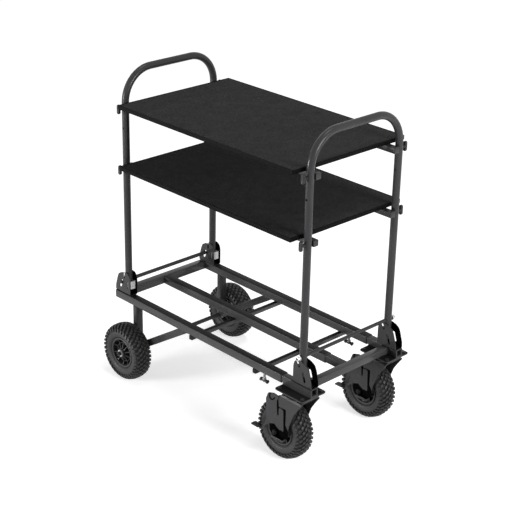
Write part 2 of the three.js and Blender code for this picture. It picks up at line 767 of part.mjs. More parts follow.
for (const [name, side] of sides) {
  add(`caster_bracket_${name}`, makeMount(side), darkSteel);
}

// Caster forks: race, crown, cheeks, axle with spacers and nuts, and the brake pin
const casterPoint = ([along, up]) => [along * casterTrail, wheelRadius + up * forkHeight];
const rockerOuter = forkOuter + rockerGap + rockerThickness;
const [pinX, pinZ] = casterPoint(rockerPinShares);
const makeFork = () => {
  const crownX = forkShares.slice(0, 2).map(([along]) => along * casterTrail);
  const pieces = [
    rodZ(0, 0, raceRadius, [crownTop - raceSink, casterPlateBottom - raceGap]),
    block(crownX, [-forkOuter, forkOuter], [crownTop - crownThickness, crownTop]),
  ];
  const nutReach = rockerOuter + rockerGap + casterNutLength;
  pieces.push(rodY(-casterTrail, wheelRadius, axleRadius, [-nutReach, forkOuter + casterNutLength]));
  const cheek = outline(forkShares.map(casterPoint));
  for (const [, side] of sides) {
    const seat = side < 0 ? rockerOuter + rockerGap : forkOuter;
    const spacer = sorted(side * (hubLength / 2 + turningGap), side * forkInner);
    const nut = sorted(side * seat, side * (seat + casterNutLength));
    pieces.push(alongY(cheek, sorted(side * forkInner, side * forkOuter)));
    pieces.push(rodY(-casterTrail, wheelRadius, axleCollarRadius, spacer));
    pieces.push(rodY(-casterTrail, wheelRadius, casterNutRadius, nut, 6));
  }
  pieces.push(rodY(pinX, pinZ, rockerPinRadius, [-rockerOuter - rockerGap, -forkInner]));
  return fuse(pieces);
};

// Brake rockers that turn on the pin
const makeRocker = () => {
  const face = -forkOuter - rockerGap;
  const plate = alongY(outline(rockerShares.map(casterPoint)), [-rockerOuter, face]);
  const pedal = (alongShares, levelShare, y) => {
    const under = casterPoint([0, levelShare])[1];
    return block(alongShares.map((share) => share * casterTrail), y, [under, under + pedalThickness]);
  };
  const pieces = [
    plate,
    pedal(lockPedalShares, lockPedalLevelShare, [-lockPedalReach[1], -lockPedalReach[0]]),
    pedal(freePedalShares, freePedalLevelShare, [-freePedalReach, face]),
  ];
  const hole = rodY(pinX, pinZ, rockerPinRadius + rockerGap, [-rockerOuter - overrun, 0]);
  return cut(fuse(pieces), [hole]);
};
const fork = makeFork();
const rocker = makeRocker();
for (const [name, side] of sides) {
  add(`caster_fork_${name}`, fork, blackSteel, [casterX, side * legY, 0]);
  add(`caster_brake_${name}`, rocker, darkSteel, [casterX, side * legY, 0]);
}

// T screws that clamp the inner rails
const wingTop = railBottom - clampDrop;
const wingReach = (clampWingLength - clampWingWidth) / 2;
const wing = alongZ(
  stadium([-wingReach, 0], [wingReach, 0], clampWingWidth),
  [wingTop - clampWingHeight, wingTop],
);
const stem = rodZ(0, 0, clampStemRadius, [wingTop - clampWingHeight / 2, innerBottom - clampTipGap]);
const clampScrew = fuse([wing, stem]);
for (const [name, side] of sides) {
  add(`clamp_screw_${name}`, clampScrew, darkSteel, [clampX, side * railY, 0]);
}

export default cart;
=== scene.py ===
import math
import bpy
import bmesh
import numpy as np
from mathutils import Matrix, Vector
from mathutils.geometry import delaunay_2d_cdt


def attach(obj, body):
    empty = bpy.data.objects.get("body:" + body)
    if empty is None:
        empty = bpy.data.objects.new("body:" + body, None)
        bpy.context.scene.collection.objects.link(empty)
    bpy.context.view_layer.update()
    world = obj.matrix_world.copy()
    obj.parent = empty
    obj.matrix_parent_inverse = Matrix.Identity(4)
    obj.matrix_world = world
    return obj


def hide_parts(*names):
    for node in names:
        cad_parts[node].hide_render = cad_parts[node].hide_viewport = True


# Camera cart: black telescoping base on four balloon wheels, two arched handles, two carpeted shelves.
# Lengths in the dictionaries are millimetres; every mesh is made in metres in the frame's own axes.

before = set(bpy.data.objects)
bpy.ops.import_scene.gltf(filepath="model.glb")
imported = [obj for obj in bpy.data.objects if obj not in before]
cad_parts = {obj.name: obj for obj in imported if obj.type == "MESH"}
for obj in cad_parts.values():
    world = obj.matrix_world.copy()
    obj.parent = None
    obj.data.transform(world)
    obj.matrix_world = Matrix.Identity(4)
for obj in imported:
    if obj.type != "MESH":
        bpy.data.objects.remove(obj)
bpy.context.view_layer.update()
mm = 0.001
tau = 2 * math.pi
sides = (("Near", "near", -1), ("Far", "far", 1))
ends = ((-1, "fixed", "frame"), (1, "ext", "extension"))
print("frame loaded:", len(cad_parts), "nodes")


# Shapes as arrays: a chunk is its points, its four-sided cells and its flat faces

def gridQuads(rows, cols, wrapRows=False, wrapCols=True):
    # each cell joins point (r, c) with (r, c+1), (r+1, c+1) and (r+1, c)
    r = np.arange(rows if wrapRows else rows - 1)[:, None]
    c = np.arange(cols if wrapCols else cols - 1)[None, :]
    r2 = (r + 1) % rows
    c2 = (c + 1) % cols
    return np.stack([r * cols + c, r * cols + c2, r2 * cols + c2, r2 * cols + c], -1).reshape(-1, 4)


def skin(rings, wrap=False):
    # rings[i, j] is a point of ring i; neighbours are joined, and the first and last ring are filled or joined
    rings = np.asarray(rings, float)
    rows, cols = rings.shape[:2]
    flats = [] if wrap else [list(range(cols))[::-1], list(range((rows - 1) * cols, rows * cols))]
    return rings.reshape(-1, 3), gridQuads(rows, cols, wrap), flats


def welded(chunk):
    # points that fall together become one, and cells that lose a side become triangles
    points, quads, flats = chunk
    first, inverse = np.unique(np.round(points, 4), axis=0, return_index=True, return_inverse=True)[1:]
    inverse = inverse.reshape(-1)
    cells = inverse[quads]
    same = cells == np.roll(cells, -1, axis=1)
    lost = same.sum(1)
    faces = cells[lost == 0].tolist()
    single = cells[lost == 1]
    if len(single):
        keep = (same[lost == 1].argmax(1)[:, None] + np.arange(1, 4)[None, :]) % 4
        faces += np.take_along_axis(single, keep, 1).tolist()
    for flat in flats:
        loop = inverse[np.asarray(flat)]
        loop = loop[loop != np.roll(loop, 1)]
        if len(set(loop.tolist())) > 2:
            faces.append(loop.tolist())
    return points[first], faces


axisOrder = {"x": (1, 2, 0), "y": (0, 2, 1), "z": (0, 1, 2)}   # where (across, up, along) go


def placed(across, up, along, axis, centre=(0, 0, 0)):
    out = np.zeros(np.broadcast(across, up, along).shape + (3,))
    for place, values in zip(axisOrder[axis], (across, up, along)):
        out[..., place] = values
    return out + np.asarray(centre, float)


def roundedRect(halves, corner, steps):
    # four quarter circles of the corner's radius, set in from the halves by that radius
    turn = (np.arange(4)[:, None] * math.pi / 2 + np.linspace(0, math.pi / 2, steps + 1)).reshape(-1)
    signs = np.repeat(np.array([[1, 1], [-1, 1], [-1, -1], [1, -1]], float), steps + 1, axis=0)
    return (signs[:, 0] * (halves[0] - corner) + corner * np.cos(turn),
            signs[:, 1] * (halves[1] - corner) + corner * np.sin(turn))


def bar(axis, stations, centre, halves, corner=3.0, steps=3, wrap=False):
    # a rounded rectangle carried along an axis: at each station (place, inset) both halves shrink by the inset
    stations = np.asarray(stations, float)
    inset = stations[:, 1:]
    across, up = roundedRect((halves[0] - inset, halves[1] - inset), np.maximum(corner - inset, 0.25), steps)
    return skin(placed(across, up, stations[:, :1], axis, centre), wrap)


def solidBar(axis, span, centre, halves, corner=3.0, edge=0.7):
    low, high = span
    return bar(axis, [(low, edge), (low + edge * 0.3, edge * 0.3), (low + edge, 0), (high - edge, 0),
                      (high - edge * 0.3, edge * 0.3), (high, edge)], centre, halves, corner)


def cupBar(closedEnd, openEnd, centre, halves, corner=3.0):
    # a tube along x with a 2 mm wall: closed at its lower end, where its floor is 3 mm thick
    return bar("x", [(closedEnd, 0.5), (closedEnd + 0.5, 0), (openEnd - 0.5, 0), (openEnd, 0.5),
                     (openEnd, 1.75), (openEnd - 0.3, 2.0), (closedEnd + 3, 2.0)], centre, halves, corner)


def turned(axis, centre, profile, count=48, wrap=False, flat=None):
    # a profile of (radius, place) turned round an axis; six flats at the distance flat may cut it
    profile = np.asarray(profile, float)
    angle = np.arange(count) / count * tau
    radius = profile[:, :1]
    if flat is not None:
        near = (angle + math.pi / 6) % (math.pi / 3) - math.pi / 6
        radius = np.minimum(radius, flat / np.cos(near))
    return skin(placed(radius * np.cos(angle), radius * np.sin(angle), profile[:, 1:], axis, centre), wrap)


def both(profile):
    # the profile runs from the middle outwards, and is carried to both ends
    return [(radius, -place) for radius, place in profile[::-1]] + list(profile)


def signed(profile, way):
    return [(radius, way * place) for radius, place in profile]


def ringPair(centre, profile, count):
    # the same ring of (radius, place) on both sides of a centre, along y
    return [turned("y", centre, signed(profile, way), count, wrap=True) for way in (-1, 1)]


def hexNut(axis, centre, span, flat, bore=0.0):
    low, high = span
    corner = flat / math.cos(math.pi / 6)
    step = (high - low) * 0.12
    return turned(axis, centre, [(bore, low), (corner * 0.93, low), (corner + 0.01, low + step),
                                 (corner + 0.01, high - step), (corner * 0.93, high), (bore, high)], 36, flat=flat)


def washer(centre, bore, radius, span, bevel, count=32):
    # a ring along y with both outer edges bevelled
    low, high = sorted(span)
    return turned("y", centre, [(bore, low), (radius - bevel, low), (radius, low + bevel), (radius, high - bevel),
                                (radius - bevel, high), (bore, high)], count, wrap=True)


def swept(path, radius, count, normal):
    # a circle carried along a path that lies in one plane:
    # centre + radius * (cos * normal + sin * (tangent x normal))
    path = np.asarray(path, float)
    tangent = np.gradient(path, axis=0)
    tangent /= np.linalg.norm(tangent, axis=1)[:, None]
    normal = np.asarray(normal, float)
    second = np.cross(tangent, normal)
    second /= np.linalg.norm(second, axis=1)[:, None]
    radius = np.broadcast_to(np.asarray(radius, float), (len(path),))[:, None, None]
    angle = (np.arange(count) / count * tau)[None, :, None]
    return skin(path[:, None, :] + radius * (np.cos(angle) * normal + np.sin(angle) * second[:, None, :]))


def resampled(points, pitch):
    # points at an even pitch along a polyline, by its running length
    points = np.asarray(points, float)
    run = np.concatenate([[0], np.cumsum(np.linalg.norm(np.diff(points, axis=0), axis=1))])
    at = np.linspace(0, run[-1], max(int(math.ceil(run[-1] / pitch)), 2) + 1)
    return np.stack([np.interp(at, run, column) for column in points.T], -1)


def bead(points, radius, normal=(0, 0, 1)):
    # a weld bead: a round line whose radius ripples along its length and tapers at both ends
    path = resampled(points, 1.1)
    step = np.arange(len(path))
    ripple = 1 + 0.13 * np.sin(step * tau / 3.2) + 0.05 * np.sin(step * 0.71)
    taper = np.minimum(1, np.minimum(step, step[::-1]) / 3.0 + 0.25)
    return swept(path, radius * ripple * taper, 9, normal)


def crossBead(x, y, z, half, radius):
    return bead([(x, y - half, z), (x, y + half, z)], radius)


def alongBead(span, y, z, radius):
    return bead([(span[0], y, z), (span[1], y, z)], radius)


def uprightBead(x, y, span, radius):
    return bead([(x, y, span[0]), (x, y, span[1])], radius, (1, 0, 0))


def filleted(points, radius, steps=5):
    # every corner of a closed outline is replaced by a quadratic arc, pulled towards the corner
    points = np.asarray(points, float)
    before = np.roll(points, 1, axis=0) - points
    after = np.roll(points, -1, axis=0) - points
    lengthB = np.linalg.norm(before, axis=1)
    lengthA = np.linalg.norm(after, axis=1)
    before /= lengthB[:, None]
    after /= lengthA[:, None]
    half = np.arccos(np.clip((before * after).sum(1), -0.9999, 0.9999)) / 2
    reach = np.minimum(np.asarray(radius, float) / np.tan(half), 0.48 * np.minimum(lengthA, lengthB))[:, None]
    share = np.linspace(0, 1, steps + 1)[None, :, None]
    arc = ((1 - share) ** 2 * (points + before * reach)[:, None] + 2 * share * (1 - share) * points[:, None]
           + share ** 2 * (points + after * reach)[:, None])
    return arc.reshape(-1, 2)


def arcPoints(centre, radius, angle):
    return np.asarray(centre, float) + radius * np.stack([np.cos(angle), np.sin(angle)], -1)


def slotLoop(start, end, width):
    # two half circles joined by straight sides
    heading = math.atan2(end[1] - start[1], end[0] - start[0])
    turn = np.linspace(-math.pi / 2, math.pi / 2, 8)
    return np.vstack([arcPoints(end, width / 2, heading + turn),
                      arcPoints(start, width / 2, heading + math.pi + turn)])


def rounded4(x, y, radius):
    return filleted([(x[0], y[0]), (x[1], y[0]), (x[1], y[1]), (x[0], y[1])], radius, 6)


def inside(points, loop):
    # even-odd rule, every point against every side at once
    x, y = points[:, 0][:, None], points[:, 1][:, None]
    a, b = loop, np.roll(loop, -1, axis=0)
    crosses = (a[None, :, 1] > y) != (b[None, :, 1] > y)
    slope = (b[:, 0] - a[:, 0]) / np.where(b[:, 1] == a[:, 1], 1e-9, b[:, 1] - a[:, 1])
    at = a[None, :, 0] + slope[None, :] * (y - a[None, :, 1])
    return ((crosses & (x < at)).sum(1) % 2) == 1


def divided(loop, pitch):
    # extra points on sides that are longer than the pitch
    ahead = np.roll(loop, -1, axis=0)
    counts = np.maximum(np.ceil(np.linalg.norm(ahead - loop, axis=1) / pitch).astype(int), 1)
    owner = np.repeat(np.arange(len(loop)), counts)
    step = np.arange(len(owner)) - np.repeat(np.cumsum(counts) - counts, counts)
    share = (step / counts[owner])[:, None]
    return loop[owner] * (1 - share) + ahead[owner] * share


def pressed(loops, pitch, thickness, fold, edge=0.6):
    # sheet metal: a flat pattern is meshed, both faces are set off from its folded middle surface by
    # half the thickness, and a chamfered rim joins them; fold(u, w) gives points and normals
    loops = [divided(np.asarray(loop, float), pitch) for loop in loops]

    def metal(points):
        held = inside(points, loops[0])
        for hole in loops[1:]:
            held &= ~inside(points, hole)
        return held

    # the next point round each loop, and the way from the edge into the metal
    nexts, inward = [], []
    for loop in loops:
        area = (loop[:, 0] * np.roll(loop[:, 1], -1) - np.roll(loop[:, 0], -1) * loop[:, 1]).sum()
        ahead = np.roll(loop, -1, axis=0) - np.roll(loop, 1, axis=0)
        ahead /= np.maximum(np.linalg.norm(ahead, axis=1), 1e-9)[:, None]
        inward.append(np.stack([-ahead[:, 1], ahead[:, 0]], -1) * np.sign(area) * (-1 if nexts else 1))
        nexts.append(sum(map(len, nexts)) + (np.arange(len(loop)) + 1) % len(loop))
    nexts = np.concatenate(nexts)
    boundary = np.vstack(loops)
    m = len(boundary)
    steps = [np.arange(low + pitch / 2, high, pitch) for low, high in zip(boundary.min(0), boundary.max(0))]
    grid = np.stack(np.meshgrid(*steps), -1).reshape(-1, 2)
    away = np.sqrt(((grid[:, None, :] - boundary[None, :, :]) ** 2).sum(-1)).min(1) > pitch * 0.55
    grid = grid[away]
    flat = np.vstack([boundary, grid[metal(grid)]])
    edges = np.stack([np.arange(m), nexts], -1).tolist()
    cdt = delaunay_2d_cdt([Vector(p) for p in flat.tolist()], edges, [], 0, 1e-4)
    corners = np.array([list(v) for v in cdt[0]])
    triangles = np.array(cdt[2])
    triangles = triangles[metal(corners[triangles].mean(1))]
    source = np.array([origin[0] if origin else -1 for origin in cdt[3]])
    onRim = (source >= 0) & (source < m)
    rimOf = np.full(m, -1)
    rimOf[source[onRim]] = np.nonzero(onRim)[0]
    flatPlace = corners.copy()
    flatPlace[rimOf] = boundary + np.vstack(inward) * edge
    surface, normal = fold(flatPlace[:, 0], flatPlace[:, 1])
    rim, rimNormal = fold(boundary[:, 0], boundary[:, 1])
    half = thickness / 2
    points = np.vstack([surface + normal * half, surface - normal * half,
                        rim + rimNormal * (half - edge), rim - rimNormal * (half - edge)])
    # four rings round the rim, from the upper face to the lower, joined by three bands
    n = len(corners)
    rings = [rimOf, 2 * n + np.arange(m), 2 * n + m + np.arange(m), n + rimOf]
    quads = np.vstack([np.stack([a, a[nexts], b[nexts], b], -1) for a, b in zip(rings, rings[1:])])
    return points, quads, triangles.tolist() + (triangles[:, ::-1] + n).tolist()


def moved(chunk, shift=(0, 0, 0), flip=(1, 1, 1)):
    points, quads, flats = chunk
    return points * np.asarray(flip, float) + np.asarray(shift, float), quads, flats


def flatFold(axis, level):
    # no fold: the pattern lies square to an axis, at one level along it
    def fold(u, w):
        return placed(u, w, level, axis), placed(0 * u, 0, 1, axis)
    return fold


def channelFold(halfFlat, bend, level, way):
    # flat to halfFlat, then a quarter bend, then straight: way is -1 for sides that hang and 1 for sides that stand
    def fold(u, w):
        reach = np.abs(w)
        side = np.where(w < 0, -1.0, 1.0)
        angle = np.clip((reach - halfFlat) / bend, 0, math.pi / 2)
        past = np.maximum(reach - halfFlat - bend * math.pi / 2, 0)
        across = np.minimum(reach, halfFlat) + bend * np.sin(angle)
        up = bend * (1 - np.cos(angle)) + past
        points = np.stack([u, side * across, level + way * up], -1)
        return points, np.stack([0 * u, side * np.sin(angle), -way * np.cos(angle)], -1)
    return fold


# Pieces

def newObject(name, data):
    item = bpy.data.objects.new(name, data)
    bpy.context.scene.collection.objects.link(item)
    return item


def newMesh(name, chunks):
    points, faces, start = [], [], 0
    for chunk in chunks:
        corners, cells = welded(chunk)
        points.append(corners)
        faces += [[index + start for index in cell] for cell in cells]
        start += len(corners)
    mesh = bpy.data.meshes.new(name)
    mesh.from_pydata((np.vstack(points) * mm).tolist(), [], faces)
    work = bmesh.new()
    work.from_mesh(mesh)
    bmesh.ops.recalc_face_normals(work, faces=work.faces)
    work.to_mesh(mesh)
    work.free()
    return mesh


def drilled(mesh, name, cutters):
    # a boolean difference, applied, so that the piece keeps no modifier
    body = newObject("drilledBody", mesh)
    tool = newObject("drillTool", newMesh("drillTool", cutters))
    cut = body.modifiers.new("cut", "BOOLEAN")
    cut.operation = "DIFFERENCE"
    cut.solver = "EXACT"
    cut.object = tool
    bpy.context.view_layer.update()
    result = bpy.data.meshes.new_from_object(body.evaluated_get(bpy.context.evaluated_depsgraph_get()))
    for item in (body, tool):
        spent = item.data
        bpy.data.objects.remove(item)
        bpy.data.meshes.remove(spent)
    result.materials.clear()
    result.name = name
    return result


def makePiece(name, chunks, material, body, stands=(), angle=38, drills=()):
    mesh = newMesh(name, chunks)
    if drills:
        mesh = drilled(mesh, name, drills)
    mesh.polygons.foreach_set("use_smooth", np.ones(len(mesh.polygons), bool))
    mesh.set_sharp_from_angle(angle=math.radians(angle))
    mesh.materials.append(material)
    piece = newObject(name, mesh)
    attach(piece, body)
    if stands:
        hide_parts(*stands)
    return piece


def dress(piece, material, test):
    # faces whose centre and normal, in millimetres and as arrays, pass the test take the second finish
    mesh = piece.data
    mesh.materials.append(material)
    centre, normal = (np.empty(len(mesh.polygons) * 3) for _ in range(2))
    mesh.polygons.foreach_get("center", centre)
    mesh.polygons.foreach_get("normal", normal)
    chosen = test(centre.reshape(-1, 3) / mm, normal.reshape(-1, 3))
    mesh.polygons.foreach_set("material_index", chosen.astype(np.int32))


# Finishes

def put(tree, kind, inputs):
    # a new shader node: an output given for an input is linked to it, and any other value is set
    node = tree.nodes.new("ShaderNode" + kind)
    for key, value in inputs.items():
        if isinstance(value, bpy.types.NodeSocket):
            tree.links.new(value, node.inputs[key])
        else:
            node.inputs[key].default_value = value
    return node


def newMaterial(name, roughness, specular=0.5, metallic=0.0):
    material = bpy.data.materials.new(name)
    material.use_nodes = True
    tree = material.node_tree
    shader = tree.nodes["Principled BSDF"]
    for socket, value in (("Roughness", roughness), ("Specular IOR Level", specular), ("Metallic", metallic)):
        shader.inputs[socket].default_value = value
    return material, tree, tree.nodes.new("ShaderNodeTexCoord").outputs["Object"]


def noise(tree, place, scale, detail=3.0, rough=0.55, stretch=None):
    if stretch is not None:
        place = put(tree, "Mapping", {"Vector": place, "Scale": stretch}).outputs["Vector"]
    return put(tree, "TexNoise", {"Vector": place, "Scale": scale, "Detail": detail,
                                  "Roughness": rough}).outputs["Fac"]


def ramp(tree, source, *stops):
    # each stop is (place, colour), and a single number stands for a grey
    node = put(tree, "ValToRGB", {"Fac": source})
    band = node.color_ramp
    while len(band.elements) < len(stops):
        band.elements.new(0.5)
    for element, (place, colour) in zip(band.elements, stops):
        element.position = place
        element.color = (*(colour if isinstance(colour, tuple) else (colour,) * 3), 1)
    return node.outputs["Color"]


def blended(tree, factor, first, second):
    node = tree.nodes.new("ShaderNodeMix")
    node.data_type = "RGBA"
    for socket, value in zip((node.inputs[0], node.inputs[6], node.inputs[7]), (factor, first, second)):
        if isinstance(value, bpy.types.NodeSocket):
            tree.links.new(value, socket)
        else:
            socket.default_value = (*value, 1) if isinstance(value, tuple) else value
    return node.outputs[2]


def surfaced(material, colour, roughness, heights):
    # links what varies over the surface; heights are (output, strength, distance in metres), laid one over the other
    tree = material.node_tree
    normal = None
    for height, strength, distance in heights:
        inputs = {"Height": height, "Strength": strength, "Distance": distance}
        if normal is not None:
            inputs["Normal"] = normal
        normal = put(tree, "Bump", inputs).outputs["Normal"]
    for socket, value in (("Base Color", colour), ("Roughness", roughness), ("Normal", normal)):
        if value is not None:
            tree.links.new(value, tree.nodes["Principled BSDF"].inputs[socket])
    return material


def paintFinish(name, settings):
    # satin powder coat: slow tone drift, orange peel, a few dust specks and rubbed spots
    dull, peel = settings["roughness"], settings["peel"]
    material, tree, place = newMaterial(name, dull, settings["specular"])
    drift = noise(tree, place, 5.0, 4.0)
    specks = ramp(tree, noise(tree, place, 900.0, 1.0), (0.0, 0.0), (0.715, 0.0), (0.75, 1.0))
    tone = ramp(tree, drift, (0.3, settings["low"]), (0.7, settings["high"]))
    return surfaced(material, blended(tree, specks, tone, settings["speck"]),
                    ramp(tree, drift, (0.25, dull - 0.05), (0.75, dull + 0.07)),
                    [(noise(tree, place, 620.0, 2.0), peel, 0.0004),
                     (noise(tree, place, 2600.0, 1.0), peel * 0.6, 0.0001)])


def zincFinish(name, settings):
    # dull zinc plate: drawn streaks, cloudy patches and a faint blue and straw tint
    dull = settings["roughness"]
    material, tree, place = newMaterial(name, dull, metallic=1.0)
    clouds = noise(tree, place, 34.0, 4.0)
    streaks = noise(tree, place, 260.0, stretch=(1.0, 0.12, 1.0))
    tint = ramp(tree, clouds, (0.3, settings["cool"]), (0.72, settings["warm"]))
    return surfaced(material, blended(tree, 0.35, tint, ramp(tree, streaks, (0.3, 0.35), (0.7, 0.75))),
                    ramp(tree, clouds, (0.3, dull - 0.06), (0.7, dull + 0.1)), [(streaks, 0.12, 0.0002)])


def rubberFinish(name, settings):
    # moulded tyre rubber: pale bloom in patches, fine pores and a coarser grain
    dull = settings["roughness"]
    material, tree, place = newMaterial(name, dull, 0.35)
    grain = noise(tree, place, 260.0)
    patches = ramp(tree, noise(tree, place, 18.0, 5.0), (0.3, settings["low"]), (0.72, settings["high"]))
    return surfaced(material, patches, ramp(tree, grain, (0.3, dull - 0.08), (0.7, dull + 0.08)),
                    [(grain, 0.12, 0.0004), (noise(tree, place, 1500.0, 2.0), 0.25, 0.00015)])


def plasticFinish(name, settings):
    # moulded plastic: spark-eroded grain in the bump and a little flow shading
    dull = settings["roughness"]
    material, tree, place = newMaterial(name, dull, settings["specular"])
    grain = noise(tree, place, 1900.0, 2.0)
    return surfaced(material, ramp(tree, noise(tree, place, 26.0), (0.3, settings["low"]), (0.7, settings["high"])),
                    ramp(tree, grain, (0.3, dull - 0.07), (0.7, dull + 0.07)), [(grain, settings["grain"], 0.00015)])


def carpetFinish(name, settings):
    # needle felt: matted fibres in the bump, pale fibre flecks of two sizes, slow pile shading
    material, tree, place = newMaterial(name, 0.95, 0.12)
    ground = ramp(tree, noise(tree, place, 22.0, 4.0), (0.28, settings["low"]), (0.72, settings["high"]))
    fine = ramp(tree, noise(tree, place, 430.0, 2.0, 0.6), (0.0, 0.0), (0.585, 0.0), (0.7, 1.0))
    wide = ramp(tree, noise(tree, place, 150.0, 3.0, 0.7), (0.0, 0.0), (0.6, 0.0), (0.74, 1.0))
    flecked = blended(tree, fine, ground, settings["fleck"])
    return surfaced(material, blended(tree, wide, flecked, settings["fleckWide"]), None,
                    [(noise(tree, place, 520.0, 4.0, 0.75), 0.7, 0.0012),
                     (noise(tree, place, 1900.0, 2.0), 0.5, 0.0004)])


def plyFinish(name, settings):
    # stained plywood edge and underside: long grain with darker pores
    material, tree, place = newMaterial(name, 0.6, 0.04)
    grain = noise(tree, place, 90.0, 6.0, 0.65, (0.08, 1.0, 1.0))
    pores = noise(tree, place, 700.0, 2.0, stretch=(0.1, 1.0, 1.0))
    return surfaced(material, ramp(tree, grain, (0.3, settings["low"]), (0.7, settings["high"])), None,
                    [(pores, 0.25, 0.0003)])


blackCoat = paintFinish("satinBlackPowderCoat", {
    "low": (0.027, 0.027, 0.0285), "high": (0.036, 0.036, 0.038), "speck": (0.06, 0.06, 0.063),
    "roughness": 0.24, "specular": 0.16, "peel": 0.14})
# painted light: a lighter copy of the satin black coat, for the brighter sides of the rails, beams and cross tubes
litRailCoat = paintFinish("paintedLightBlackCoat", {
    "low": (0.04, 0.04, 0.0415), "high": (0.052, 0.052, 0.054), "speck": (0.078, 0.078, 0.08),
    "roughness": 0.24, "specular": 0.16, "peel": 0.14})
darkCoat = paintFinish("mattBlackPaint", {
    "low": (0.011, 0.011, 0.012), "high": (0.019, 0.019, 0.02), "speck": (0.04, 0.04, 0.042),
    "roughness": 0.45, "specular": 0.3, "peel": 0.16})
# painted shadow: a near-black with no gloss, laid where shade falls in the hinges, behind the rocker and on its tray
paintedShadowBlack = paintFinish("paintedShadowCoat", {
    "low": (0.0015, 0.0015, 0.0016), "high": (0.004, 0.004, 0.0042), "speck": (0.008, 0.008, 0.008),
    "roughness": 0.9, "specular": 0.0, "peel": 0.1})
# painted shade on tops under the shelves, lower edges, tube ends and bracket tops; also the caster axles' black oxide
shadeAndOxideBlack = paintFinish("paintedShadeAndBlackOxide", {
    "low": (0.0045, 0.0045, 0.0048), "high": (0.009, 0.009, 0.0095), "speck": (0.018, 0.018, 0.018),
    "roughness": 0.5, "specular": 0.1, "peel": 0.1})
midZinc = zincFinish("rubbedZincPlate", {
    "cool": (0.27, 0.275, 0.285), "warm": (0.34, 0.335, 0.32), "roughness": 0.4})
darkZinc = zincFinish("phosphatedSteel", {
    "cool": (0.07, 0.07, 0.073), "warm": (0.095, 0.094, 0.09), "roughness": 0.42})
zinc = zincFinish("dullZincPlate", {"cool": (0.52, 0.54, 0.57), "warm": (0.6, 0.59, 0.55), "roughness": 0.34})
tyreRubber = rubberFinish("mattTyreRubber", {
    "low": (0.0085, 0.0085, 0.009), "high": (0.016, 0.016, 0.0165), "roughness": 0.56})
# painted shade in the tyre's hollows: darker rubber between the lugs and by the bead
grooveShadeRubber = rubberFinish("paintedGrooveShade", {
    "low": (0.006, 0.006, 0.006), "high": (0.012, 0.012, 0.012), "roughness": 0.85})
rimPlastic = plasticFinish("mouldedRimPlastic", {
    "low": (0.024, 0.024, 0.0255), "high": (0.034, 0.034, 0.0355), "roughness": 0.4, "specular": 0.25, "grain": 0.25})
knobPlastic = plasticFinish("mouldedKnobPlastic", {
    "low": (0.011, 0.011, 0.012), "high": (0.016, 0.016, 0.017), "roughness": 0.42, "specular": 0.22, "grain": 0.2})
capPlastic = plasticFinish("tubeCapPlastic", {
    "low": (0.012, 0.012, 0.013), "high": (0.02, 0.02, 0.021), "roughness": 0.6, "specular": 0.35, "grain": 0.35})
carpetBlack = carpetFinish("needleFeltCarpet", {
    "low": (0.016, 0.016, 0.017), "high": (0.027, 0.027, 0.028), "fleck": (0.11, 0.11, 0.113),
    "fleckWide": (0.045, 0.045, 0.047)})
stainedPly = plyFinish("blackStainedPly", {"low": (0.0015, 0.0015, 0.0015), "high": (0.0045, 0.0043, 0.0043)})
print("finishes made")


# The base: outer tubes, beam, cross tubes

base = {"outerEnd": 420.0, "fixedEnd": -583.5, "railY": 238.5, "railZ": 336.0, "halves": (17.5, 18.0), "corner": 4.5,
        "clampX": 316.5, "centreStart": 34.0, "beamHalf": 221.5, "crossX": (-97.0, 277.0), "crossZ": 309.0,
        "crossHalf": 257.0, "crossSize": (9.0, 9.0), "shadeX": 480.0, "bead": 2.4}
railLow, railHigh = base["railZ"] - base["halves"][1], base["railZ"] + base["halves"][1]


def shaded(c, n):
    # painted shade: the upper faces in the shelves' shadow, and the lower edges
    return ((n[:, 2] > 0.7) & (np.abs(c[:, 0]) < base["shadeX"])) | (n[:, 2] < -0.3)


def makeOuterRail(side, node, y, start, extras):
    # a tube, and a thin black plastic collar at its mouth, round the inner one; the collar's dark plastic also stands
    # in for the shaded seam there
    end, centre = base["outerEnd"], (0, y, base["railZ"])
    tube = cupBar(start, end, centre, base["halves"], base["corner"])
    rail = makePiece("outerRail" + side, [tube] + extras, litRailCoat, "frame", ["outer_rail_" + node])
    # the tops under the shelves and the lower edges take painted shade
    dress(rail, shadeAndOxideBlack, shaded)
    collar = bar("x", [(end + 0.1, 0.5), (end + 0.4, 0.1), (end + 3.6, 0.1), (end + 4.0, 0.6), (end + 4.0, 2.2),
                       (end + 0.1, 2.2)], centre, [half + 0.1 for half in base["halves"]], base["corner"], wrap=True)
    makePiece("railBush" + side, [collar], capPlastic, "frame")


for side, node, way in sides:
    y = way * base["railY"]
    # a nut for the clamp screw, welded on all round
    nut = hexNut("z", (base["clampX"], y, 0), (railLow - 6, railLow + 0.5), 7.8, 4.4)
    ring = arcPoints((base["clampX"], y), 9.2, np.linspace(0, tau, 40))
    weld = bead(np.column_stack([ring, np.full(len(ring), railLow)]), 1.4)
    makeOuterRail(side, node, y, base["fixedEnd"], [nut, weld])
makeOuterRail("Centre", "centre", 0, base["fixedEnd"] + base["centreStart"], [])
beam = solidBar("y", (-base["beamHalf"], base["beamHalf"]), (base["fixedEnd"] + 17.5, 0, base["railZ"]),
                base["halves"], base["corner"])
makePiece("fixedEndBeam", [beam], litRailCoat, "frame", ["fixed_end_beam"])
for name, x in zip(("rear", "front"), base["crossX"]):
    tube = solidBar("y", (-base["crossHalf"], base["crossHalf"]), (x, 0, base["crossZ"]), base["crossSize"], 2.2)
    hole = turned("z", (x, 0, 299.9), [(0, 0), (3.6, 0), (4.4, 0.4), (4.4, 1.1), (0, 1.1)], 20)
    cross = makePiece(name + "CrossTube", [tube, hole], litRailCoat, "frame", [name + "_cross_tube"])
    # painted shade on the tops, the lower edges and both cut ends of the tube
    dress(cross, shadeAndOxideBlack, lambda c, n: shaded(c, n) | (np.abs(c[:, 1]) > base["crossHalf"] - 6))

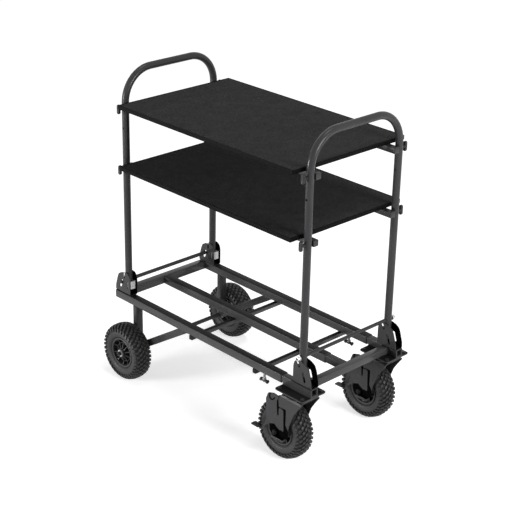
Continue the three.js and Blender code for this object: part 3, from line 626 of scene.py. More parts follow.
# weld beads: across the beam's ends, where the middle tube meets it, and along both cross tubes
seams = []
face = base["fixedEnd"] + 35
for way in (-1, 1):
    y = way * (base["beamHalf"] - 0.2)
    seams += [alongBead((face - 32, face - 2), y, z, base["bead"]) for z in (railHigh - 0.6, railLow + 0.6)]
    seams += [uprightBead(face + 0.2, across, (railLow + 3, railHigh - 3), base["bead"])
              for across in (y, way * 17.6)]
seams.append(crossBead(face, 0, railHigh - 0.5, 16, base["bead"]))
for x in base["crossX"]:
    for y in (-base["railY"], 0, base["railY"]):
        seams += [crossBead(x + across, y, railLow - 0.3, 15.5, 2.0) for across in (-9.4, 9.4)]
makePiece("baseWelds", seams, blackCoat, "frame")


# Wheel legs and the fixed axle

leg = {"x": -456.5, "halves": (12.5, 17.5), "foot": 111.5, "braceLow": (-444.0, 148.0), "braceHigh": (-179.0, 318.0),
       "braceSide": 30.0, "corner": 3.6, "bush": [(8, 17.4), (11.2, 17.4), (11.2, 17.9), (10.4, 18.1), (8, 18.1)]}
axle = {"z": 124.0, "radius": 7.0, "collar": (256.4, 260.7), "nut": (337.4, 349.2), "end": 352.2, "flat": 9.5,
        "washer": 14.2, "washerThick": 2.2, "sleeve": (9.0, 220.7)}


def cutBar(origin, heading, half, corner, planes):
    # a rounded square slid along its heading until it meets the plane (normal, level) at each end
    across = np.array([0, 1.0, 0])
    a, b = roundedRect((half, half), corner, 4)
    ring = origin + a[:, None] * across + b[:, None] * np.cross(across, heading)
    return skin([ring + ((level - ring @ normal) / (heading @ normal))[:, None] * heading
                 for normal, level in planes])


(lowX, lowZ), (highX, highZ) = leg["braceLow"], leg["braceHigh"]
slope = math.atan2(highZ - lowZ, highX - lowX)
rise, along = math.sin(slope), math.cos(slope)
footLow, topRight = lowZ - leg["braceSide"] / along, highX + leg["braceSide"] / rise
foot, top = lowX + 0.2, railLow - 0.2
for side, node, way in sides:
    y = way * base["railY"]
    post = bar("z", [(leg["foot"], 1.4), (leg["foot"] + 0.5, 0.5), (leg["foot"] + 1.6, 0), (railLow + 0.5, 0)],
               (leg["x"], y, 0), leg["halves"], leg["corner"])
    origin = np.array([lowX, y, lowZ]) + np.array([rise, 0, -along]) * leg["braceSide"] / 2
    brace = cutBar(origin, np.array([along, 0, rise]), leg["braceSide"] / 2, leg["corner"],
                   [((1, 0, 0), lowX - 1), ((0, 0, 1), railLow + 0.8)])
    welds = [uprightBead(foot, y + across, (footLow + 3, lowZ - 1), 2.0) for across in (-14.8, 14.8)]
    welds.append(crossBead(foot, y, lowZ + 0.6, 11, 2.4))
    welds += [alongBead((highX + 2, topRight - 2), y + across, top, 2.0) for across in (-15.0, 15.0)]
    welds += [crossBead(x, y, top, half, radius) for x, half, radius in
              ((highX - 0.6, 11, 2.4), (leg["x"] - 12.6, 15, 2.2), (leg["x"] + 12.6, 15, 2.2))]
    # the axle passes through a welded bush with a raised rim on both faces of the post
    bushes = ringPair((leg["x"], y, axle["z"]), leg["bush"], 32)
    makePiece("wheelLeg" + side, [post, brace] + welds + bushes, blackCoat, "frame", ["wheel_leg_" + node])


def sleeved(centre, radius, half):
    # a tube over a rod along y, with a small bevel at both ends
    return turned("y", centre, both([(radius, half - 0.7), (radius - 0.6, half), (radius - 3, half)]), 36)


centre, end, bore = (leg["x"], 0, axle["z"]), axle["end"], axle["radius"]
rod = both([(bore, end - 1.4), (5.6, end), (3.6, end), (3.2, end - 4.5), (0, end - 4.5)])
axleParts = [turned("y", centre, rod, 32), sleeved(centre, *axle["sleeve"])]
washers = []
for way in (-1, 1):
    start, stop = axle["nut"]
    outer = start + axle["washerThick"]
    axleParts.append(washer(centre, bore, 12, [way * place for place in axle["collar"]], 0.6))
    washers.append(washer(centre, bore + 0.1, axle["washer"], (way * start, way * outer), 0.4, 40))
    axleParts.append(hexNut("y", centre, sorted((way * (outer + 0.1), way * stop)), axle["flat"], bore))
makePiece("fixedAxle", axleParts, darkCoat, "frame", ["fixed_axle"])
makePiece("axleWashers", washers, zinc, "frame")
print("base made")


# Hinge brackets with slotted cheeks

hinge = {"inner": 485.5, "length": 96.0, "height": 100.0, "mid": 19.0, "sheet": 3.0, "bend": 4.0, "legY": 235.6,
         "shares": [(1, 0.07), (0.99, 0.26), (0.86, 0.67), (0.78, 0.83), (0.6, 0.93), (0.3, 1), (0.17, 0.98),
                    (0.07, 0.9), (0.02, 0.8), (0, 0.68), (0, 0.07)],
         "floor": {"fixed": 354.0, "ext": 351.5}, "hole": (30, 4.5),
         "welds": (6, 66), "weldY": 19.6, "weldLength": 22.0,
         "slots": {"fixed": [((536.8, 56), (548.8, 29), 11.0), ((502.2, 33), (502.2, 58), 7.0),
                             ((523.5, 76), (523.5, 91), 9.0)],
                   "ext": [((536.0, 53), (546.0, 23), 11.0), ((516.0, 76), (507.0, 91), 9.0)]},
         "bolts": (12, 78), "bolt": [(0, 3), (7, 3), (7, 4.2), (5.5, 6), (2.6, 6.6), (2.4, 5.2), (0, 5.2)]}


def makeHinge(end, floorZ, slots):
    level = floorZ + hinge["sheet"] / 2
    halfFlat = hinge["mid"] - hinge["bend"]

    def across(z):
        # height on the cheek to distance along the flat pattern
        return halfFlat + hinge["bend"] * math.pi / 2 + (z - level - hinge["bend"])
    bottom = across(level + hinge["bend"])
    plus = [(hinge["inner"] + out * hinge["length"], max(across(floorZ + up * hinge["height"]), bottom))
            for out, up in hinge["shares"]]
    loops = [filleted(plus + [(x, -w) for x, w in plus[::-1]], 7.0, 4)]
    for (x1, z1), (x2, z2), width in slots:
        w1, w2 = across(floorZ + z1), across(floorZ + z2)
        loops += [slotLoop((x1, way * w1), (x2, way * w2), width) for way in (1, -1)]
    at, radius = hinge["hole"]
    loops.append(arcPoints((hinge["inner"] + at, 0), radius, np.arange(20) / 20 * tau))
    chunk = pressed(loops, 7.0, hinge["sheet"], channelFold(halfFlat, hinge["bend"], level, 1), 0.5)
    return moved(chunk, flip=(end, 1, 1))


for side, node, way in sides:
    for end, name, body in ends:
        y = way * hinge["legY"]
        floorZ = hinge["floor"][name]
        channel = moved(makeHinge(end, floorZ, hinge["slots"][name]), (0, y, 0))
        # two round-headed bolts hold the floor of the channel to the rail
        bolts = [turned("z", (end * (hinge["inner"] + at), y, floorZ), hinge["bolt"], 24) for at in hinge["bolts"]]
        starts = [hinge["inner"] + at for at in hinge["welds"]]
        welds = [alongBead((end * at, end * (at + hinge["weldLength"])), y - way * hinge["weldY"], floorZ + 0.2, 1.7)
                 for at in starts]
        bracket = makePiece(name + "Hinge" + side, [channel] + bolts + welds, blackCoat, body,
                            [name + "_hinge_" + node])
        # painted shadow: the insides of both cheeks and the channel's floor take the shadow black
        dress(bracket, paintedShadowBlack, lambda c, n: ((c[:, 1] - y) * n[:, 1] < -8) | (
            (n[:, 2] > 0.6) & (np.abs(c[:, 1] - y) < 17) & (c[:, 2] < floorZ + 8)))


# Leg shoes and handles

shoe = {"outer": 532.0, "half": 17.2, "low": 382.0, "high": 418.0,
        "nose": [(498, 1), (489.6, 0.8), (486, 0.4), (486, -0.4), (489.6, -0.8), (498, -1)], "collar": (15, 17, 16.6)}
handle = {"x": 517.0, "legY": 235.6, "radius": 15.0, "bend": 130.0, "start": 1193.0, "foot": 414.0, "holeZ": 1089.0,
          "holeRadius": 4.5, "holeHalf": 270.0}


def makeShoe(end):
    half, high = shoe["half"], shoe["high"]
    points = [(shoe["outer"], half)] + [(x, s * half) for x, s in shoe["nose"]] + [(shoe["outer"], -half)]
    block = pressed([filleted(points, [3, 5, 8, 10, 10, 8, 5, 3])], 9.0, high - shoe["low"],
                    flatFold("z", (shoe["low"] + high) / 2), 1.3)
    bore, foot, lip = shoe["collar"]
    collar = turned("z", (handle["x"], 0, high), [(bore, -0.5), (foot, -0.5), (lip, 0), (bore, 0)], 40, wrap=True)
    return [moved(chunk, flip=(end, 1, 1)) for chunk in (block, collar)]


def handlePath():
    # straight leg, quarter circle, straight top, and the same again mirrored
    bend, legY, high = handle["bend"], handle["legY"], handle["start"]
    legZ = np.linspace(handle["foot"], high, 14)
    angle = np.linspace(0, math.pi / 2, 25)[1:]
    half = np.vstack([placed(0, -legY, legZ, "z"),
                      placed(0, bend - legY - bend * np.cos(angle), high + bend * np.sin(angle), "z")])
    return np.vstack([half, half[::-1] * np.array([1, -1, 1])])


for end, name, body in ends:
    tube = swept(handlePath() + np.array([end * handle["x"], 0, 0]), handle["radius"], 40, (1, 0, 0))
    drill = turned("y", (end * handle["x"], 0, handle["holeZ"]),
                   both([(handle["holeRadius"], handle["holeHalf"]), (0, handle["holeHalf"])]), 24)
    makePiece(name + "Handle", [tube], blackCoat, body, [name + "_handle"], drills=[drill])
    for side, node, way in sides:
        parts = [moved(chunk, (0, way * handle["legY"], 0)) for chunk in makeShoe(end)]
        makePiece(name + "Shoe" + side, parts, midZinc if name == "fixed" else darkCoat, body,
                  [name + "_shoe_" + node])

# the sliding lock bar of the fixed end, and the tie rod of the other
lock = {"x": -539.5, "z": 404.0, "radius": 4.5, "seat": 256.5, "reach": 262.3, "head": 8.9, "sleeve": (8.0, 212.1)}
tie = {"x": 517.0, "z": 462.0, "radius": 5.0, "spacer": (250.9, 256.1), "rodEnd": 265.0, "sleeve": (7.0, 220.3),
       "nut": [(5.0, 256.3), (10.0, 256.3), (10.4, 256.8), (10.4, 258.5), (8.9, 258.9), (8.9, 267.8), (8.3, 269.3),
               (6.9, 270.0), (5.2, 270.0), (4.7, 269.5), (4.7, 265.3), (5.0, 265.2)]}
centre, seat, reach, head = (lock["x"], 0, lock["z"]), lock["seat"], lock["reach"], lock["head"]
pin = both([(lock["radius"], seat), (head - 0.5, seat), (head, seat + 0.5), (head, seat + 1.8), (7.2, seat + 2.0),
            (7.2, reach - 1.2), (6.2, reach), (3.0, reach), (2.6, reach - 2.6), (0, reach - 2.6)])
makePiece("lockBar", [turned("y", centre, pin, 36), sleeved(centre, *lock["sleeve"])],
          darkCoat, "lock_bar", ["lock_bar"])
centre, (start, end) = (tie["x"], 0, tie["z"]), tie["spacer"]
rod = both([(tie["radius"], start), (7.1, start), (7.5, start + 0.5), (7.5, end), (tie["radius"], end),
            (tie["radius"], tie["rodEnd"]), (0, tie["rodEnd"])])
makePiece("tieRod", [turned("y", centre, rod, 36), sleeved(centre, *tie["sleeve"])],
          darkCoat, "extension", ["tie_rod"])
makePiece("tieRodNuts", ringPair(centre, tie["nut"], 36), zinc, "extension")
print("handles made")


# Shelves

shelf = {"half": (489.5, 296.0), "thick": 17.5, "edge": 4.2, "recess": 1.9, "corner": 1.4, "railY": 207.7,
         "railHalves": (12.5, 12.5), "railStart": -532.0, "railOpen": 495.5, "headSpan": (495.8, 532.0),
         "sliderStart": 197.0, "sliderHalves": (9.8, 9.8), "tops": (("top", 1202.0), ("lower", 945.5)), "weave": 4.0}
fibreSeed = np.random.default_rng(11)


def feltTop(half, level, cell, corner):
    # a rounded sheet whose height is a sum of smoothed random fields, falling to its edge over the last cells
    nx, ny = (int(round(2 * extent / cell)) for extent in half)
    u = np.linspace(-1, 1, nx + 1)[:, None]
    v = np.linspace(-1, 1, ny + 1)[None, :]
    x = half[0] * u + 0 * v
    y = half[1] * v + 0 * u
    # corner cells are pulled in along a superellipse so that the corners are rounded
    pull = 1 - (corner * 0.3 / half[1]) * (np.abs(u) ** 60) * (np.abs(v) ** 30)
    coarse = fibreSeed.standard_normal((nx // 6 + 3, ny // 6 + 3))
    fine = fibreSeed.standard_normal((nx + 1, ny + 1))
    at = np.linspace(0, nx // 6 + 1.999, nx + 1)
    bt = np.linspace(0, ny // 6 + 1.999, ny + 1)
    i, j = at.astype(int), bt.astype(int)
    fu, fv = (at - i)[:, None], (bt - j)[None, :]
    near, far = ((1 - fv) * coarse[k][:, j] + fv * coarse[k][:, j + 1] for k in (i, i + 1))
    soft = (1 - fu) * near + fu * far
    fall = np.minimum(1, np.minimum(half[0] - np.abs(x), half[1] - np.abs(y)) / (1.2 * cell))
    z = level - 0.5 + 0.11 * np.clip(soft, -2, 2) + 0.12 * np.clip(fine, -2, 2) - 0.9 * (1 - fall)
    upper = np.stack([x * pull, y * pull, z], -1).reshape(-1, 3)
    # the sheet's sides and underside close it, from the points round its edge
    n = len(upper)
    index = np.arange(n).reshape(nx + 1, ny + 1)
    rim = np.concatenate([index[0], index[1:, -1], index[-1, -2::-1], index[-2:0:-1, 0]])
    k = np.arange(len(rim))
    ahead = np.roll(k, -1)
    under = upper[rim] * (1, 1, 0) + (0, 0, level - 1.75)
    wall = np.stack([rim, rim[ahead], n + ahead, n + k], -1)
    return np.vstack([upper, under]), np.vstack([gridQuads(nx + 1, ny + 1, wrapCols=False), wall]), [(n + k).tolist()]


for name, top in shelf["tops"]:
    bottom = top - shelf["thick"]
    edge, recess = shelf["edge"], shelf["recess"]
    stations = [(bottom + 0.6, 1.2), (bottom + 0.8, 0.5), (bottom + 1.6, 0), (top - 1.4, 0), (top - 0.5, 0.4),
                (top, 1.4), (top, edge - 1.0), (top - 0.5, edge - 0.2), (top - recess, edge),
                (top - recess, edge + 1)]
    board = bar("z", stations, (0, 0, 0), shelf["half"], shelf["corner"], 6)
    makePiece(name + "ShelfBoard", [board], stainedPly, "frame", [name + "_shelf_board"])
    felt = feltTop([half - edge - 0.3 for half in shelf["half"]], top, shelf["weave"], shelf["corner"])
    makePiece(name + "ShelfCarpet", [felt], carpetBlack, "frame", angle=60)
    for side, node, way in sides:
        centre = (0, way * shelf["railY"], bottom - shelf["railHalves"][1])
        tube = cupBar(shelf["railStart"], shelf["railOpen"], centre, shelf["railHalves"])
        makePiece(name + "ShelfRail" + side, [tube], blackCoat, "frame", [name + "_shelf_rail_" + node])
        head = solidBar("x", shelf["headSpan"], centre, shelf["railHalves"], edge=0.6)
        slider = solidBar("x", (shelf["sliderStart"], shelf["headSpan"][0] + 2), centre, shelf["sliderHalves"], 1.8)
        makePiece(name + "ShelfSlider" + side, [head, slider], blackCoat, "extension",
                  [name + "_shelf_slider_" + node])

# Knobs

knob = {"x": 517.0, "levels": (("top", 1172.0), ("lower", 915.5)), "half": 7.5, "reach": 12.5,
        "stem": [(0, 195.4), (3.4, 195.4), (4, 196), (4, 250.9), (7.2, 250.9), (8.0, 251.7), (8.0, 253.5), (6.6, 254.3),
                 (6.0, 260.9), (7.0, 264.4), (7.0, 267.9), (0, 267.9)],
        "wing": [(262.7, 4.6), (264.9, 1.5), (266.1, 0.35), (267.9, 0.0), (272.5, 0.0), (274.3, 0.5), (275.4, 1.4),
                 (275.9, 3.0), (275.55, 4.4), (275.1, 5.4)]}


def knobWing(way):
    # a rounded grip: the outline swells from its back, is fullest in the middle and has a soft dished face
    turn = np.linspace(0, math.pi, 15)
    rings = []
    for place, inset in knob["wing"]:
        top = arcPoints((0, knob["reach"]), max(knob["half"] - inset, 0.6), turn)
        ring = np.vstack([top, -top])
        # the waist is drawn in a little, so that the two wings stand out
        waist = 1 - 0.13 * np.exp(-(ring[:, 1] / 7.0) ** 2)
        rings.append(np.stack([ring[:, 0] * waist, np.full(len(ring), way * place), ring[:, 1]], -1))
    return skin(rings)


for end, name, body in ends:
    for shelfName, z in knob["levels"]:
        for side, node, way in sides:
            centre = (end * knob["x"], 0, z)
            chunks = [turned("y", centre, signed(knob["stem"], way), 32), moved(knobWing(way), centre)]
            body = name + "_" + shelfName + "_knob_" + node
            makePiece(name + shelfName.capitalize() + "Knob" + side, chunks, knobPlastic, body,
                      [body])
print("shelves and knobs made")


# Wheels

wheel = {"z": 124.0, "places": (("fixed", -456.5, 299.0), ("caster", 436.0, 235.6)), "groove": (69.0, 108.5),
         "shell": [(8.2, 33.6), (14.4, 33.6), (14.4, 37.7), (13.6, 37.85), (12.6, 37.7), (12.2, 36.8), (9.4, 36.8),
                   (9.0, 37.6), (8.2, 37.6)]}
# each row of lugs: place on the casing from its crown, share of a step, width, length, height
tyre = {"bead": 67.3, "middle": 92.5, "halfWidth": 38.6, "crown": 25.6, "lower": 33.2, "power": 2.45, "radius": 124.0,
        "rows": ((-43.5, 0.0, 11.4, 9.8, 6.6), (-31.0, 0.5, 10.4, 10.2, 6.8), (-18.4, 0.0, 10.2, 10.6, 6.0),
                 (-6.2, 0.5, 10.2, 10.6, 6.2)), "around": 36, "skew": 0.5, "lugRadius": 118.0,
        "start": 52.5, "points": 180, "count": 88, "rings": ((73.0, 0.9, 1.2), (79.0, 0.5, 0.8), (103.0, 0.6, 1.0))}


def casingProfile():
    # a superellipse: width = W |cos|^(2/n), radius = middle + H |sin|^(2/n), deeper towards the bead
    start = -math.radians(tyre["start"])
    angle = np.linspace(start, math.pi - start, tyre["points"])
    wide, tall = (np.sign(part) * np.abs(part) ** (2 / tyre["power"]) for part in (np.cos(angle), np.sin(angle)))
    width = tyre["halfWidth"] * wide
    radius = tyre["middle"] + np.where(tall > 0, tyre["crown"], tyre["lower"]) * tall
    # two raised mould rings on each sidewall and a guard ring by the bead
    for at, high, broad in tyre["rings"]:
        width += np.sign(width) * high * np.exp(-((radius - at) / broad) ** 2)
    return np.stack([radius, width], -1)


def tyreChunks(centre):
    casing = casingProfile()
    # the lug rows are measured along the casing from the crown
    run = np.concatenate([[0], np.cumsum(np.linalg.norm(np.diff(casing, axis=0), axis=1))])
    run -= np.interp(0, -casing[:, 1], run)
    slope = np.gradient(casing, run, axis=0)
    normal = np.stack([-slope[:, 1], slope[:, 0]], -1)
    normal *= np.sign((normal * (casing - np.array([90.0, 0]))).sum(1))[:, None]
    seat = [(tyre["bead"], casing[-1, 1] * 0.8), (tyre["bead"], casing[0, 1] * 0.8)]
    chunks = [turned("y", centre, np.vstack([casing, seat]), tyre["count"], wrap=True)]
    # one block: rings of eight corners, from inside the casing up to a chamfered top
    square = np.array([[1, 0.88], [0.9, 1], [-0.9, 1], [-1, 0.88], [-1, -0.88], [-0.9, -1], [0.9, -1], [1, -0.88]])
    lift = np.array([0.5, 0.82, 1.0])
    grow = np.array([1.14, 1.07, 1.0, 0.86])[:, None]
    for mirror in (1, -1):
        for place, phase, wide, long, tall in tyre["rows"]:
            heights = np.append(-2.5, lift * tall)[:, None]
            a = square[:, 0] * grow * long / 2
            b = square[:, 1] * grow * wide / 2
            r, w, nr, nw = (np.interp(place * mirror + b, run, column) for column in np.hstack([casing, normal]).T)
            radius = np.minimum(r + nr * heights, tyre["radius"])
            turn = (np.arange(tyre["around"]) + phase + (0.5 if mirror < 0 else 0)) / tyre["around"] * tau
            angle = turn[:, None, None] + (a + mirror * tyre["skew"] * b) / tyre["lugRadius"]
            points = placed(radius * np.cos(angle), radius * np.sin(angle), w + nw * heights, "y", centre)
            blocks, levels, corners = points.shape[:3]
            offset = (np.arange(blocks) * levels * corners)[:, None, None]
            quads = (gridQuads(levels, corners)[None] + offset).reshape(-1, 4)
            top = (np.arange(corners) + (levels - 1) * corners)[None, :] + offset[:, :, 0]
            under = np.arange(corners)[None, ::-1] + offset[:, :, 0]
            chunks.append((points.reshape(-1, 3), quads, top.tolist() + under.tolist()))
    return chunks


rim = {"ribs": 10,
       "barrel": both([(62.4, 19.0), (63.9, 26.5), (65.6, 28.8), (65.6, 31.2), (62.5, 32.3), (59.5, 31.6),
                       (58.0, 30.0)]) + both([(56.6, -4.0), (57.0, -19.0)]),
       "web": both([(57, 3.2), (45, 2.6), (30, 3.4), (19, 3.2)]),
       "hub": both([(22.2, 3), (19.6, 26), (19.0, 36.4), (17.5, 37.6), (8.0, 37.6)]),
       "ring": [(39.8, -19.5), (40.4, -20), (41.6, -20), (42.2, -19.5), (43.0, 0), (42.2, 19.5), (41.6, 20),
                (40.4, 20), (39.8, 19.5), (39.0, 0)],
       "ribPlaces": [18.0, 26.0, 34.0, 42.0, 50.0, 57.5], "ribTall": [29.5, 26.5, 23.5, 21.5, 22.5, 27.0],
       "ribThick": [2.5, 2.1, 1.8, 1.7, 1.8, 2.4]}


def rimChunks(centre):
    chunks = [turned("y", centre, rim[part], count, wrap=True)
              for part, count in (("barrel", 72), ("web", 60), ("hub", 48), ("ring", 60))]
    # ribs: a tapered plate from the hub to the band, its height dipping between them, turned into ten places
    square = np.array([[1, 0.94], [0.8, 1], [-0.8, 1], [-1, 0.94], [-1, -0.94], [-0.8, -1], [0.8, -1], [1, -0.94]])
    out, tall, thick = (np.array(rim[part])[:, None] for part in ("ribPlaces", "ribTall", "ribThick"))
    across, along = thick * square[:, 0], tall * square[:, 1]
    for number in range(rim["ribs"]):
        turn = (number + 0.5) / rim["ribs"] * tau
        chunks.append(skin(placed(out * math.cos(turn) - across * math.sin(turn),
                                  out * math.sin(turn) + across * math.cos(turn), along, "y", centre)))
    return chunks


for kind, x, y in wheel["places"]:
    for side, node, way in sides:
        centre = (x, way * y, wheel["z"])
        body = kind + "_wheel_" + node

        def shadedGrooveFaces(c, n):
            # painted shade: darker rubber between the lugs and by the bead; the first faces of the mesh are the
            # casing's
            radius = np.hypot(c[:, 0] - x, c[:, 2] - wheel["z"])
            onCasing = np.arange(len(c)) < tyre["count"] * (tyre["points"] + 1)
            return onCasing & ((radius > wheel["groove"][1]) | (radius < wheel["groove"][0]))
        piece = makePiece(kind + "Tyre" + side, tyreChunks(centre), tyreRubber, body, [body + "_tyre"], 34)
        dress(piece, grooveShadeRubber, shadedGrooveFaces)
        makePiece(kind + "Rim" + side, rimChunks(centre), rimPlastic, body, [body + "_rim"], 30)
        # bright bearing shells pressed into both ends of the hub
        makePiece(kind + "Bearings" + side, ringPair(centre, wheel["shell"], 40), zinc, body)
print("wheels made")


# The extension: inner tubes, end beam, clamp screws

inner = {"start": 60.0, "end": 583.5, "centreEnd": 509.4, "halves": (15.0, 15.5), "corner": 3.4, "beamX": 524.0,
         "beamHalf": 223.8}
innerLow, innerHigh = base["railZ"] - inner["halves"][1], base["railZ"] + inner["halves"][1]
for side, node, way in sides:
    centre, end = (0, way * base["railY"], base["railZ"]), inner["end"]
    tube = bar("x", [(inner["start"], 0.8), (inner["start"] + 0.8, 0), (end - 0.5, 0), (end, 0.5), (end, 1.7),
                     (end - 0.4, 2.0), (end - 24, 2.1)], centre, inner["halves"], inner["corner"], 4)
    makePiece("innerRail" + side, [tube], litRailCoat, "extension", ["inner_rail_" + node])
    plug = bar("x", [(end - 23.8, 2.4), (end - 2.2, 2.4), (end - 1.8, 2.9), (end - 2.2, 3.6), (end - 22, 4.4),
                     (end - 22, 9.0)], centre, inner["halves"], inner["corner"], 4)
    makePiece("tubeCap" + side, [plug], capPlastic, "extension")
tube = solidBar("x", (inner["start"], inner["centreEnd"]), (0, 0, base["railZ"]), inner["halves"], inner["corner"])
makePiece("innerRailCentre", [tube], blackCoat, "extension", ["inner_rail_centre"])
beam = solidBar("y", (-inner["beamHalf"], inner["beamHalf"]), (inner["beamX"], 0, base["railZ"]), inner["halves"],
                inner["corner"])
makePiece("extEndBeam", [beam], litRailCoat, "extension", ["ext_end_beam"])
seams = []
faces = (inner["beamX"] - 15.4, inner["beamX"] + 15.4)
upright = (innerLow + 2, innerHigh - 2)
for way in (-1, 1):
    y = way * (inner["beamHalf"] - 0.6)
    seams += [uprightBead(x, y, upright, 2.2) for x in faces]
    seams.append(alongBead((inner["beamX"] - 13, inner["beamX"] + 13), y, innerHigh - 0.5, 2.2))
    seams.append(uprightBead(faces[0], way * 15, upright, 2.0))
seams.append(crossBead(faces[0], 0, innerHigh - 0.5, 13, 2.0))
makePiece("extensionWelds", seams, blackCoat, "extension")

clamp = {"top": 320.0, "reach": 20.6, "z": 279.5, "halves": (7.6, 6.6),
         "stem": [(0, 276), (5.2, 276), (5.4, 284), (7.6, 284), (7.8, 284.6), (7.8, 289.6), (7.2, 290.4), (5.2, 290.6),
                  (5.2, 303.0), (4.4, 304.0), (3.6, 304.2)],
         "thread": (3.6, 0.28, 304.8, 0.62, 22),
         "waist": 1.05, "bar": [(0.84, 0.3), (0.92, 0.6), (1.2, 0.8), (1.16, 0.93), (0.85, 0.985), (0.45, 1)]}
# the T bar's thickness and its places along its half length
halfBar = clamp["bar"]
sizes, places = np.array(signed(halfBar[::-1], -1) + [(clamp["waist"], 0)] + halfBar).T[:, :, None]
root, deep, start, pitch, turns = clamp["thread"]
for side, node, way in sides:
    y = way * base["railY"]
    profile = (clamp["stem"] + [(root + deep * (k % 2), start + pitch * k) for k in range(turns)]
               + [(3.4, 319.2), (2.6, clamp["top"]), (0, clamp["top"])])
    body = "clamp_screw_" + node
    makePiece("clampStem" + side, [turned("z", (base["clampX"], y, 0), profile, 24)], darkZinc, body)
    angle = np.arange(20) / 20 * tau
    rings = np.stack([base["clampX"] + clamp["reach"] * places + 0 * angle,
                      y + clamp["halves"][0] * sizes * np.cos(angle),
                      clamp["z"] + clamp["halves"][1] * sizes * np.sin(angle)], -1)
    makePiece("clampBar" + side, [skin(rings)], capPlastic, body, [body])


# Casters: bracket, fork, brake

caster = {"x": 507.0, "legY": 235.6, "trail": 71.0, "forkHeight": 171.2, "plateX": (432.0, 582.0), "plateHalf": 64.0,
          "plateZ": (311.5, 317.5), "boltAt": (60.0, 49.0)}
bracketSheet = {"x": (433, 583.3), "half": 17.8, "z": 319.0, "thick": 3.0, "wall": 16.5,
                "outer": ([(432.2, 318.0), (583.3, 318.0), (583.3, 351.0), (475.0, 351.0), (432.2, 320.6)],
                          [1.5, 1.5, 4, 14, 3], 5),
                "inner": ([(539.6, 318.0), (583.3, 318.0), (583.3, 351.0), (539.6, 351.0)], [1.5, 1.5, 4, 4], 4)}

for side, node, way in sides:
    middle, y = way * base["railY"], way * caster["legY"]
    lowZ, highZ = caster["plateZ"]
    plate = pressed([rounded4(caster["plateX"], (y - caster["plateHalf"], y + caster["plateHalf"]), 12.0)], 16.0,
                    highZ - lowZ, flatFold("z", (lowZ + highZ) / 2), 0.9)
    half, thick, wall = (bracketSheet[key] for key in ("half", "thick", "wall"))
    floor = pressed([rounded4(bracketSheet["x"], (middle - half, middle + half), 3.0)], 16.0, thick,
                    flatFold("z", bracketSheet["z"]), 0.4)
    flanges = [pressed([filleted(*bracketSheet[key])], 12.0, thick, flatFold("y", middle + face * wall), 0.5)
               for key, face in (("outer", way), ("inner", -way))]
    bracket = makePiece("casterBracket" + side, [plate, floor] + flanges, darkCoat, "extension",
                        ["caster_bracket_" + node])
    # painted shade on the bracket's upper faces
    dress(bracket, shadeAndOxideBlack, lambda c, n: (n[:, 2] > 0.7) & (c[:, 0] < 579))
    bolts = []
    for along, across in ((-1, -1), (-1, 1), (1, -1), (1, 1)):
        place = (caster["x"] + along * caster["boltAt"][0], y + across * caster["boltAt"][1], 0)
        disc = [(0, highZ), (8.4, highZ), (8.4, highZ + 0.8), (7.6, highZ + 1.0), (0, highZ + 1.0)]
        bolts += [turned("z", place, disc, 30), hexNut("z", place, (highZ + 0.9, highZ + 4.9), 6.4),
                  hexNut("z", place, (lowZ - 4.6, lowZ), 6.2)]
    makePiece("bracketBolts" + side, bolts, darkCoat, "extension")

# outlines in shares of the trail and of the fork's height
fork = {"mid": 48.5, "bend": 9.0, "crown": 295.2, "sheet": 5.0, "crownX": (55.4, -51.2),
        "shares": [(0.78, 0.94), (0.45, 0.75), (0.22, 0.6), (-0.05, 0.3), (-0.11, 0.2), (-0.1, 0.03), (-0.6, -0.08),
                   (-0.85, -0.15), (-1.15, -0.15), (-1.33, -0.03), (-1.36, 0.3), (-1.2, 0.72), (-0.72, 0.955)],
        "race": [(0, 293.4), (52.4, 293.4), (55.6, 294.0), (57.4, 295.6), (57.9, 297.4), (57.6, 299.6), (56.0, 300.8),
                 (51.8, 301.4), (51.0, 302.2), (51.0, 304.0), (51.8, 304.8), (56.0, 305.2), (57.7, 306.4),
                 (57.9, 308.4), (57.0, 310.2), (55.0, 311.2), (0, 311.2)],
        "rod": [(0, -64.6), (5.2, -64.6), (6.6, -63.4), (6.6, 58.6), (5.2, 59.8), (0, 59.8)],
        "spacer": [(6.8, 38.4), (11.6, 38.4), (12, 38.9), (12, 45.5), (11.6, 46), (6.8, 46)],
        "kingNut": ((279.5, 290.5), 13.5), "axleNuts": ((-62.5, -56.2), (51.2, 58.0)), "nutFlat": 10.2, "nutBore": 6.5}


def makeFork(centre):
    # crown, bends and both cheeks are a single folded sheet, with the king bolt's nut inside
    level = fork["crown"] - fork["sheet"] / 2
    halfFlat = fork["mid"] - fork["bend"]

    def across(z):
        return halfFlat + fork["bend"] * math.pi / 2 + (level - fork["bend"] - z)
    plus = [(along * caster["trail"], across(wheel["z"] + up * caster["forkHeight"])) for along, up in fork["shares"]]
    front, back = fork["crownX"]
    plus = [(front, halfFlat * 0.9)] + plus + [(back, halfFlat * 0.9)]
    chunk = pressed([filleted(plus + [(x, -w) for x, w in plus[::-1]], 12.0)], 7.0, fork["sheet"],
                    channelFold(halfFlat, fork["bend"], level, -1), 0.8)
    return [moved(chunk, centre), hexNut("z", centre, *fork["kingNut"])]


def makeAxle(centreY):
    centre = (caster["x"] - caster["trail"], centreY, wheel["z"])
    parts = [turned("y", centre, fork["rod"], 32)]
    parts += [hexNut("y", centre, span, fork["nutFlat"], fork["nutBore"]) for span in fork["axleNuts"]]
    parts += [turned("y", centre, profile, 32, wrap=True)
              for profile in (signed(fork["spacer"], -1)[::-1], fork["spacer"])]
    return parts


